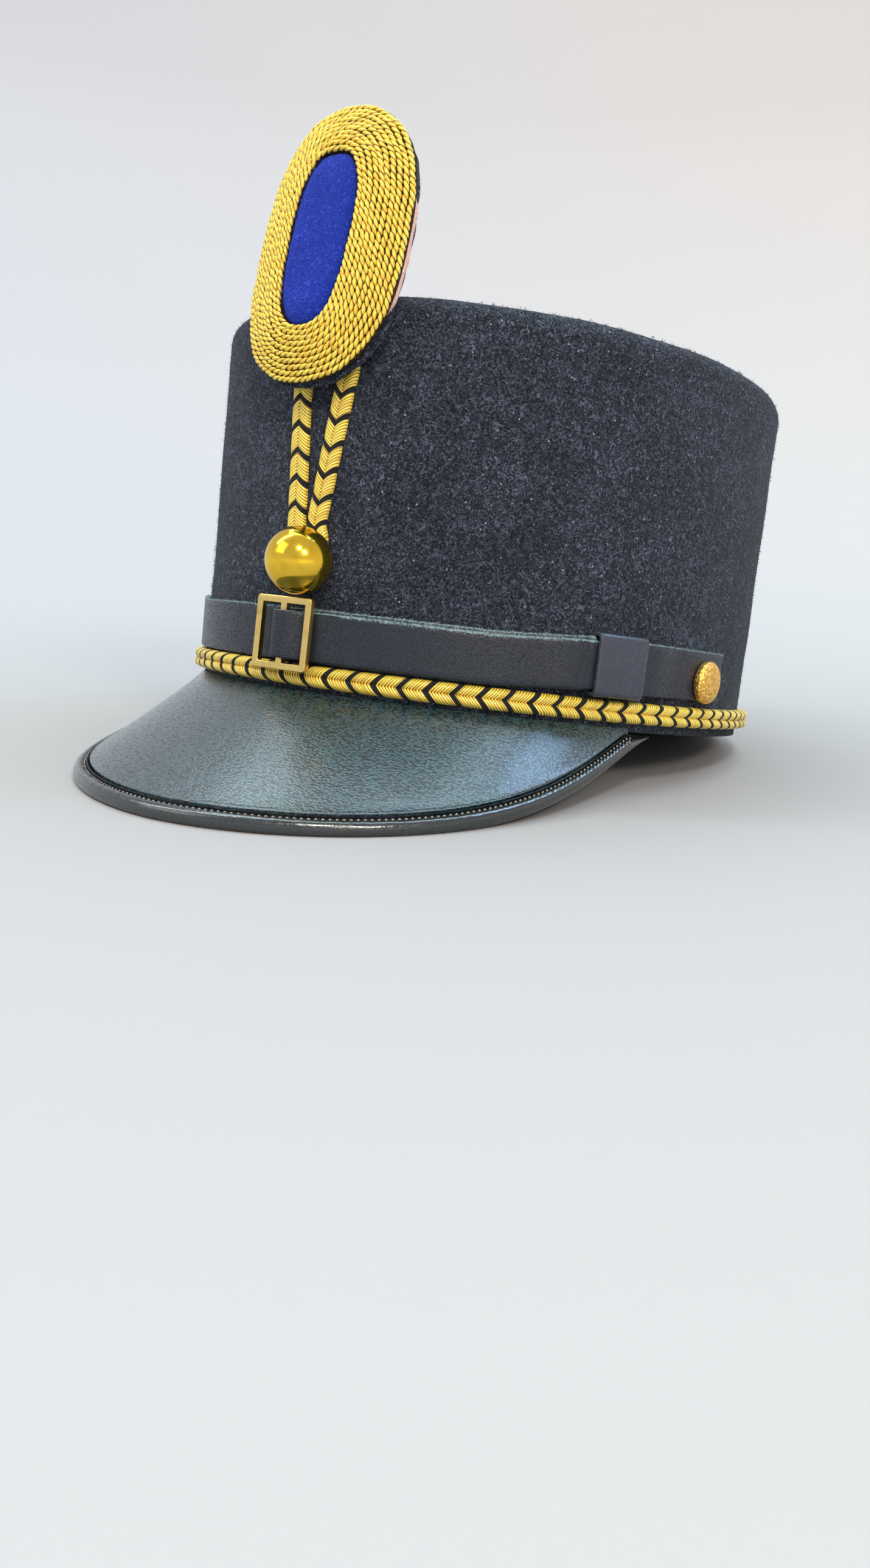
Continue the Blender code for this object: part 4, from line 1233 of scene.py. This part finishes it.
class KEPI_OT_rim_braid(bpy.types.Operator):
    """The gold braid round the rim, with its dark chevrons"""

    bl_idname = "kepi.rim_braid"
    bl_label = "Braid round the rim"

    def execute(self, context):
        _, wall, s, colours = given(context, "braid")
        middle = BRAID_BOTTOM + s.width / 2
        line = Track(lambda u: wall.point(-180 + 360 * u, middle, s.thickness), 360)

        def lay(u, wide, proud):
            return wall.point(-180 + 360 * u, middle + wide, GAP + s.thickness * proud)

        lay_braid("rim_braid", "band_braid", s, colours, line, lambda u: s.width, 0.93, lay)
        return {"FINISHED"}


class KEPI_OT_chin_strap(bpy.types.Operator):
    """The chin strap, its buckled tongue and the keeper round both"""

    bl_idname = "kepi.chin_strap"
    bl_label = "Chin strap"

    def tongue_path(self, scene, wall):
        """(angle, proud) along the tongue: in behind the bar, round it and on to the keeper."""
        s = scene.kepi_strap
        bar = buckle_back(scene) + BUCKLE_DEPTH / 2
        radius = max(BUCKLE_BAR, BUCKLE_DEPTH) / 2 * sqrt(2) + GAP + s.tongue_thickness / 2
        path = [(BUCKLE_ANGLE + wall.front(TONGUE_TAIL), bar - radius)]
        path.append((BUCKLE_ANGLE + wall.front(TONGUE_TAIL / 2), bar - radius))
        for along, proud in arc((0, bar), (radius, radius), -pi / 2, -3 * pi / 2, 24):
            path.append((BUCKLE_ANGLE + wall.front(along), proud))
        falls = ((0.0, 0.0),) + TONGUE_FALL
        for step in range(2, 26):
            along, fall = spline(falls, step / 25)
            angle = BUCKLE_ANGLE + wall.front(s.buckle_width / 2 * along)
            path.append((angle, between(bar + radius, tongue_rest(scene, wall, angle) + GAP, fall)))
        first = path[-1][0]
        last = KEEPER_ANGLE + TONGUE_PAST_KEEPER / wall.speed(KEEPER_ANGLE)
        for step in range(1, 61):
            angle = between(first, last, step / 60)
            lift = GAP * (1 - smoothstep(0, 0.1, step / 60))
            path.append((angle, tongue_rest(scene, wall, angle) + lift))
        return path

    def fuzz(self, scene, wall, colours):
        """Fibres along the cut upper edges of the strap, its ends and its tongue."""
        s, end = scene.kepi_strap, strap_end(wall)
        under = s.keeper_length / 2 / wall.speed(KEEPER_ANGLE)

        def start(chance):
            tongue = chance.random() < FIBRES_ON_TONGUE
            half = s.tongue_width / 2 - TONGUE_DROP if tongue else s.width / 2
            half += chance.uniform(-0.3, 0.05) * MM
            reach = (BUCKLE_ANGLE + 3, KEEPER_ANGLE - under) if tongue else (-end, end)
            angle = chance.uniform(*reach)
            if abs(angle - KEEPER_ANGLE) < under:
                angle = KEEPER_ANGLE - under - chance.random()
            proud = strap_proud(wall, angle) + s.thickness
            if tongue:
                proud = tongue_rest(scene, wall, angle) + s.tongue_thickness / 2
            proud -= chance.random() ** 2 * MM
            return wall.point(angle, strap_middle(scene, angle) + half, proud), wall.out(angle)

        mesh = ribbons(
            EDGE_FIBRES, start, seed=17, length=0.60 * MM, width=0.15 * MM, curl=0.7, lift=0.2
        )
        fibre = once("cut_leather_fibre", cut_leather, tinted(colours.raw_edge, 1.6))
        settle("strap_edge_fibres", mesh, [fibre], [])

    def execute(self, context):
        scene, wall, s, colours = given(context, "strap")
        hide = leather("smooth_strap_leather", colours.strap)
        raw = once("cut_leather_edge", cut_leather, colours.raw_edge)
        # The keeper's cut edges: a dark edge leather, darker still as painted shade of the gap
        # beside the keeper
        worn = once("worn_cut_edge", cut_leather, tinted(colours.raw_edge, 0.22))
        end = strap_end(wall)

        def on_strap(u, v):
            angle = end * (2 * u - 1)
            height = strap_middle(scene, angle) + s.width * (v - 0.5)
            height += rough((angle * MM, 0, v * MM), *STRAP_WAVES)
            return wall.point(angle, height, strap_proud(wall, angle))

        mesh = faces_out(surface(240, 8, on_strap), lambda point: Vector((0, 0, point.z)))
        strap = settle("strap", mesh, [hide, raw], ["chin_strap"])
        thicken(strap, s.thickness, 1, 0.3 * MM)

        path = self.tongue_path(scene, wall)

        def on_tongue(u, v):
            angle, proud = row_at(path, u)
            height = strap_middle(scene, angle) - TONGUE_DROP + s.tongue_width * (v - 0.5)
            height += rough((angle * MM, 0, 0), *TONGUE_WAVES)
            return wall.point(angle, height, proud)

        mesh = outward(surface(len(path) - 1, 8, on_tongue))
        tongue = settle(
            "strap_tongue_leather", mesh, [hide, raw], ["strap_tongue"],
            sharp=180,
        )
        thicken(tongue, s.tongue_thickness, 0, 0.28 * MM)

        self.fuzz(scene, wall, colours)

        half = s.keeper_length / 2 / wall.speed(KEEPER_ANGLE)
        low, soft = s.width / 2 + GAP, 0.6 * MM
        inner = strap_proud(wall, KEEPER_ANGLE) - GAP
        outer = tongue_rest(scene, wall, KEEPER_ANGLE) + s.tongue_thickness / 2 + GAP
        section = []
        for start, across, proud in (
            (1.0, soft - low, inner + soft), (0.5, soft - low, outer - soft),
            (0.0, low - soft, outer - soft), (-0.5, low - soft, inner + soft),
        ):
            section += arc((across, proud), (soft, soft), pi * (start + 0.5), pi * start, 4)
        section.append(section[0])

        def on_keeper(u, v):
            across, proud = row_at(section, v)
            angle = KEEPER_ANGLE + half * (2 * u - 1)
            return wall.point(angle, strap_middle(scene, KEEPER_ANGLE) + across, proud)

        mesh = surface(12, len(section) - 1, on_keeper)
        centre = wall.point(KEEPER_ANGLE, strap_middle(scene, KEEPER_ANGLE), (inner + outer) / 2)
        faces_out(mesh, lambda point: centre)
        hide = leather("burnished_keeper_leather", tinted(colours.strap, 2.0))
        keeper = settle(
            "keeper_leather", mesh, [hide, worn], ["strap_keeper"], sharp=80
        )
        thicken(keeper, KEEPER_THICKNESS, 1, 0.2 * MM)
        return {"FINISHED"}


class KEPI_OT_buckle(bpy.types.Operator):
    """The brass slide buckle: a frame with a middle bar"""

    bl_idname = "kepi.buckle"
    bl_label = "Buckle"

    def execute(self, context):
        scene, wall, s, colours = given(context, "strap")
        half_wide, half_tall = s.buckle_width / 2, s.buckle_height / 2
        inner_wide, inner_tall = half_wide - BUCKLE_BAR, half_tall - BUCKLE_BAR
        columns = (-half_wide, -inner_wide, -BUCKLE_BAR / 2, BUCKLE_BAR / 2, inner_wide, half_wide)
        levels = (-half_tall, -inner_tall, inner_tall, half_tall)
        mesh = bmesh.new()
        bmesh.ops.create_grid(mesh, x_segments=5, y_segments=3, size=0.5)
        for vert in mesh.verts:
            vert.co.x = columns[round((vert.co.x + 0.5) * 5)]
            vert.co.y = levels[round((vert.co.y + 0.5) * 3)]
        windows = [
            face for face in mesh.faces
            if abs(face.calc_center_median().y) < BUCKLE_BAR
            and BUCKLE_BAR / 2 < abs(face.calc_center_median().x) < inner_wide
        ]
        bmesh.ops.delete(mesh, geom=windows, context="FACES")
        grown = bmesh.ops.extrude_face_region(mesh, geom=mesh.faces[:])
        lifted = [part for part in grown["geom"] if isinstance(part, bmesh.types.BMVert)]
        bmesh.ops.translate(mesh, vec=(0, 0, BUCKLE_DEPTH), verts=lifted)
        outward(mesh)
        upright = [
            edge for edge in mesh.edges
            if abs(edge.verts[0].co.z - edge.verts[1].co.z) > MM
            and abs(edge.verts[0].co.x) > half_wide - 0.01 * MM
            and abs(edge.verts[0].co.y) > half_tall - 0.01 * MM
        ]
        soften(mesh, upright, 0.9 * MM, 4)
        corners = [
            edge for edge in mesh.edges if edge.is_manifold and edge.calc_face_angle() > radians(40)
        ]
        soften(mesh, corners, 0.32 * MM, 3)
        seat = wall.seat(BUCKLE_ANGLE, strap_middle(scene, BUCKLE_ANGLE), buckle_back(scene))
        metal = satin_brass(colours)
        settle("brass_buckle", mesh, [metal], ["buckle"], sharp=30, seat=seat)
        return {"FINISHED"}


class KEPI_OT_side_buttons(bpy.types.Operator):
    """The domed brass buttons at the strap's ends, with a plain pebbled face"""

    bl_idname = "kepi.side_buttons"
    bl_label = "Side buttons"

    def execute(self, context):
        scene, wall, s, colours = given(context, "strap")
        metal = once("stamped_pebbled_brass", pebbled_brass, colours.button)
        radius, edge = s.side_button / 2, 1.3 * MM
        dome = SIDE_BUTTON_HEIGHT - edge
        profile = [(0.0, SIDE_BUTTON_HEIGHT)]
        profile += arc((0, edge), (radius, dome), pi / 2, 0, 26)[1:]
        profile += [(radius * 0.995, edge * 0.6), (radius * 0.96, 0.0), (0.0, 0.0)]
        for side, name in ((1, "left"), (-1, "right")):
            mesh = turned(profile, 80)
            for vert in mesh.verts:
                from_middle = hypot(vert.co.x, vert.co.y) / radius
                if vert.co.z > edge and from_middle < 0.9:
                    fade = smoothstep(0.9, 0.7, from_middle)
                    vert.co.z += rough(vert.co, *BUTTON_PEBBLES, 4 * side) * fade
            height = strap_middle(scene, SIDE_BUTTON_ANGLE) - SIDE_BUTTON_DROP
            proud = strap_proud(wall, SIDE_BUTTON_ANGLE) + s.thickness + GAP
            seat = wall.seat(side * SIDE_BUTTON_ANGLE, height, proud)
            node = "side_button_" + name
            settle(node + "_brass", mesh, [metal], [node], seat=seat)
        return {"FINISHED"}


class KEPI_OT_ball_button(bpy.types.Operator):
    """The polished ball button and its shank"""

    bl_idname = "kepi.ball_button"
    bl_label = "Ball button"

    def execute(self, context):
        scene, wall, s, colours = given(context, "strap")
        radius = s.ball / 2
        centre = BALL_DEPTH - radius
        start = pi / 2 + atan2(centre, sqrt(radius**2 - centre**2))
        back = GAP + scene.kepi_braid.loop_thickness
        profile = [(0.0, back + centre + radius)]
        profile += arc((0, back + centre), (radius, radius), pi / 2, pi / 2 - start, 56)[1:]
        profile += [(SHANK / 2, back), (SHANK / 2, 0.0), (0.0, 0.0)]
        mesh = turned(profile, 112)
        seat = wall.seat(wall.front(BALL_OFF_CENTER), ball_height(scene), GAP)
        roughness, scratch, patina = 0.12, 0.004 * MM, 0.30
        metal = once("mirror_polished_brass", brass, colours.ball, roughness, scratch, patina)
        settle(
            "ball_button_brass", mesh, [metal], ["ball_button"], sharp=40,
            seat=seat,
        )
        return {"FINISHED"}


class KEPI_OT_cockade_loop(bpy.types.Operator):
    """The loop of gold braid behind the cockade and round the ball's shank"""

    bl_idname = "kepi.cockade_loop"
    bl_label = "Cockade's loop"

    def execute(self, context):
        scene, wall, s, colours = given(context, "braid")
        step = 1e-4

        def middle(u):
            along, height, _ = loop_line(scene, u)
            return wall.point(wall.front(along), height, s.loop_thickness)

        def width(u):
            return loop_line(scene, u)[2]

        def lay(u, wide, proud):
            along, height, _ = loop_line(scene, u)
            ahead, behind = loop_line(scene, (u + step) % 1.0), loop_line(scene, (u - step) % 1.0)
            way = Vector((ahead[0] - behind[0], ahead[1] - behind[1])).normalized()
            angle = wall.front(along + wide * way.y)
            return wall.point(angle, height - wide * way.x, GAP + s.loop_thickness * proud)

        line = Track(middle, 400)
        lay_braid("cockade_loop_braid", "cockade_loop", s, colours, line, width, 0.91, lay)
        return {"FINISHED"}


class KEPI_OT_cockade_plies(bpy.types.Operator):
    """The cockade's navy backing and salmon ply"""

    bl_idname = "kepi.cockade_plies"
    bl_label = "Cockade's plies"

    def execute(self, context):
        scene, wall, s, colours = given(context, "cockade")
        felt = once("milled_navy_felt", wool_felt, colours.felt, colours.felt_fibre)

        def salmon_side(turn):
            """1 on the side where the salmon ply shows past the cord, 0 elsewhere."""
            return smoothstep(0.80, 0.90, 1 - abs(((turn + 0.08) / pi + 1) % 2 - 1))

        def backing_trim(turn):
            return -BACKING_TRIM * (salmon_side(turn) + smoothstep(0.0, 0.6, sin(turn)))

        def ply_trim(turn):
            return -PLY_TRIM * (1 - salmon_side(turn))

        edge = s.ring_width + PLY_PROUD
        rings = plate_rings(edge, 0.0, BACKING, PLY_SOFT)
        mesh = cockade_disc(scene, wall, rings, 220, uneven=0.45 * MM, trim=backing_trim)
        settle("cockade_backing_felt", mesh, [felt], ["cockade_backing"])
        low = BACKING + GAP
        dark = tinted(colours.salmon, 0.72)
        salmon = once("milled_salmon_felt", wool_felt, dark, colours.salmon)
        rings = plate_rings(edge, low, low + PLY, PLY_SOFT)
        mesh = cockade_disc(
            scene, wall, rings, 220, uneven=0.4 * MM, grain=2.2 * MM, trim=ply_trim
        )
        settle("cockade_ply_felt", mesh, [salmon], ["cockade_ply"])
        return {"FINISHED"}


class KEPI_OT_cockade_cord(bpy.types.Operator):
    """The cockade's ring: turns of twisted gold cord sewn on a domed core"""

    bl_idname = "kepi.cockade_cord"
    bl_label = "Cockade's cord"

    def execute(self, context):
        scene, wall, s, colours = given(context, "cockade")
        width = s.ring_width / s.rows
        radius = CORD_FULLNESS * width
        gold = once("twisted_gold_cord", twisted_cord, colours)
        chance = Random(31)
        for row in range(s.rows):
            out = width * (row + 0.5)
            lift = RING_BASE + ring_lift(s, out) - CORD_SUNK * radius

            def middle(u):
                x, y = field_edge(s, evened(u), out)
                return on_cockade(scene, wall, x, y, lift)

            line = Track(middle, 300)
            twists = round(line.length / s.twist * chance.uniform(0.97, 1.04))
            shift = chance.random()

            def place(u, v):
                share = line.share(u * line.length)
                round_it = 2 * pi * v
                loose = 0.05 * sin(2 * pi * (17 + row) * u)
                loose += 0.04 * sin(2 * pi * (29 + 2 * row) * u + 1)
                ply = abs(cos(round_it - 2 * pi * (twists * u + shift + loose)))
                thick = radius * (CORD_WAIST + CORD_SWELL * ply**0.65)
                wander = 0.10 * MM * sin(2 * pi * (3 + row) * u + row)
                wander += 0.08 * MM * sin(2 * pi * (11 + row) * u)
                x, y = field_edge(s, evened(share), out + wander + thick * cos(round_it))
                return on_cockade(scene, wall, x, y, lift + thick * sin(round_it))

            def pattern(u, v):
                return v, twists * u + shift

            mesh = outward(surface(12 * twists, 12, place, pattern))
            name = "cockade_cord_%02d" % (row + 1)
            settle(name, mesh, [gold], ["cockade_ring"], sharp=120)
        low = CORE_SUNK * radius
        rings = []
        for step in range(17):
            out = s.ring_width * (step / 16)
            rings.append((out, 1.0, RING_BASE + max(ring_lift(s, out) - low, GAP)))
        rings += [(out, 1.0, RING_BASE) for out in (s.ring_width, s.ring_width / 2, 0.0)]
        rings.append(rings[0])
        # Painted shade: the padding under the cord is made near black, so that the gaps between the
        # rows of cord look shaded
        dark, light = tinted(colours.gold_shade, 0.05), tinted(colours.gold_shade, 0.3)
        core = once("padding_felt", wool_felt, dark, light)
        mesh = cockade_disc(scene, wall, rings, 160)
        settle("cockade_core", mesh, [core], ["cockade_ring"])
        return {"FINISHED"}


class KEPI_OT_cockade_felt(bpy.types.Operator):
    """The cockade's middle of blue felt, tucked under the first turn of cord"""

    bl_idname = "kepi.cockade_felt"
    bl_label = "Cockade's blue felt"

    def execute(self, context):
        scene, wall, s, colours = given(context, "cockade")
        edge = RING_BASE + RING_EDGE + s.ring_rise - FIELD_EDGE_SUNK
        middle = edge + FIELD_EDGE_SUNK + FIELD_RISE
        rings = []
        for step in range(25):
            shrink = sin(pi / 2 * step / 24)
            rings.append((-FIELD_TUCK, shrink, between(middle, edge, shrink**12)))
        rings += [(-FIELD_TUCK, shrink, RING_BASE) for shrink in (1.0, 0.5, 0.0)]
        mesh = cockade_disc(scene, wall, rings, 180)
        for vert in mesh.verts:
            vert.co.y += rough(vert.co, *BLUE_WAVES) + rough(vert.co, *BLUE_LUMPS)
        dark, bright = tinted(colours.blue, 0.7), tinted(colours.blue, 3.2, lift=0.05)
        curl, depth, lint = 1.1 * MM, 0.35 * MM, 0.3
        blue = once("milled_blue_felt", wool_felt, dark, bright, curl, depth, lint)
        settle("cockade_blue_felt", mesh, [blue], ["cockade_field"])

        out_way = Vector((0, -cos(s.lean), sin(s.lean)))

        def start(chance):
            turn, shrink = chance.uniform(0, 2 * pi), sqrt(chance.random()) * 0.97
            x, y = field_edge(s, turn, -FIELD_TUCK)
            lift = between(middle, edge, shrink**12)
            return on_cockade(scene, wall, x * shrink, y * shrink, lift - 0.05 * MM), out_way

        mesh = ribbons(
            BLUE_FIBRES, start, seed=23, length=1.4 * MM, width=0.07 * MM, lift=0.35
        )
        fibre = once("loose_blue_fibre", wool_felt, colours.blue, bright)
        settle("cockade_blue_nap", mesh, [fibre], [])
        return {"FINISHED"}


class KEPI_OT_stud(bpy.types.Operator):
    """The hidden stud that holds the cockade: the solid keeps its shape and gets its finish"""

    bl_idname = "kepi.stud"
    bl_label = "Cockade's stud"

    def execute(self, context):
        metal = satin_brass(context.scene.kepi_colours)
        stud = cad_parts["cockade_stud"]
        stud.data.materials.clear()
        stud.data.materials.append(metal)
        return {"FINISHED"}


class KEPI_OT_studio(bpy.types.Operator):
    """The pale cove, the soft lights and the camera"""

    bl_idname = "kepi.studio"
    bl_label = "Studio"

    def light(self, name, place, aim, wide, tall, power, tone):
        """One soft light, aimed at the middle line."""
        lamp = bpy.data.lights.new(name, "AREA")
        lamp.shape, lamp.size, lamp.size_y = "RECTANGLE", wide, tall
        lamp.energy, lamp.color = power, linear(tone)
        holder = placed(name, lamp)
        holder.location = place
        way = Vector((0, 0, aim)) - Vector(place)
        holder.rotation_euler = way.to_track_quat("-Z", "Y").to_euler()

    def execute(self, context):
        scene = context.scene
        flat, bend, tall = 0.9, 1.7, 2.3
        profile = [(0.0, 0.0), (flat * 0.5, 0.0)]
        profile += arc((flat, bend), (bend, bend), -pi / 2, 0, 16)
        profile.append((flat + bend, tall))
        mesh = turned(profile, 96)
        faces_out(mesh, lambda point: Vector((2 * point.x, 2 * point.y, 2 * point.z - 1)))
        paint = painted_backdrop("painted_cove", scene.kepi_colours.backdrop)
        cove = placed("cove", smooth_mesh("cove", mesh, [paint]))

        for lamp in LIGHTS:
            self.light(*lamp)

        sky = bpy.data.worlds.new("studio")
        sky.use_nodes = True
        wire(sky.node_tree, sky.node_tree.nodes["Background"], {0: linear(SKY), 1: SKY_STRENGTH})
        scene.world = sky

        film = bpy.data.cameras.new("camera")
        film.sensor_fit = "VERTICAL"
        film.sensor_height = film.sensor_width = CAMERA_FILM
        film.lens = CAMERA_LENS
        film.clip_start = 0.01
        camera = placed("camera", film)
        ahead, up = Vector(CAMERA_AHEAD).normalized(), Vector(CAMERA_UP)
        right = ahead.cross(up).normalized()
        turn = Matrix((right, right.cross(ahead), -ahead)).transposed().to_4x4()
        camera.matrix_world = REST @ Matrix.Translation(CAMERA_AT) @ turn
        scene.camera = camera
        scene.view_settings.view_transform = "Standard"
        return {"FINISHED"}


class KEPI_PT_panel(bpy.types.Panel):
    """The kepi's sizes, colours and pieces"""

    bl_label = "Kepi"
    bl_idname = "KEPI_PT_panel"
    bl_space_type = "VIEW_3D"
    bl_region_type = "UI"
    bl_category = "Kepi"

    def draw(self, context):
        for title, group in GROUPS.items():
            box = self.layout.box()
            box.label(text=title.split("_")[1].capitalize())
            for name in group.__annotations__:
                box.prop(getattr(context.scene, title), name)
        for operator in OPERATORS:
            self.layout.operator(operator.bl_idname)


GROUPS = {
    "kepi_crown": KepiCrownSizes,
    "kepi_peak": KepiPeakSizes,
    "kepi_braid": KepiBraidSizes,
    "kepi_strap": KepiStrapSizes,
    "kepi_cockade": KepiCockadeSizes,
    "kepi_colours": KepiColours,
}

OPERATORS = (
    KEPI_OT_studio,
    KEPI_OT_crown,
    KEPI_OT_nap,
    KEPI_OT_peak,
    KEPI_OT_peak_edge,
    KEPI_OT_rim_braid,
    KEPI_OT_chin_strap,
    KEPI_OT_buckle,
    KEPI_OT_side_buttons,
    KEPI_OT_ball_button,
    KEPI_OT_cockade_loop,
    KEPI_OT_cockade_plies,
    KEPI_OT_cockade_cord,
    KEPI_OT_cockade_felt,
    KEPI_OT_stud,
)


def register():
    for made in (*GROUPS.values(), *OPERATORS, KEPI_PT_panel):
        bpy.utils.register_class(made)
    for title, group in GROUPS.items():
        setattr(bpy.types.Scene, title, PointerProperty(type=group))


def unregister():
    for title in GROUPS:
        delattr(bpy.types.Scene, title)
    for made in reversed((*GROUPS.values(), *OPERATORS, KEPI_PT_panel)):
        bpy.utils.unregister_class(made)


def main():
    register()
    for operator in OPERATORS:
        piece = operator.bl_idname.split(".")[1]
        getattr(bpy.ops.kepi, piece)()


if __name__ == "__main__":
    main()
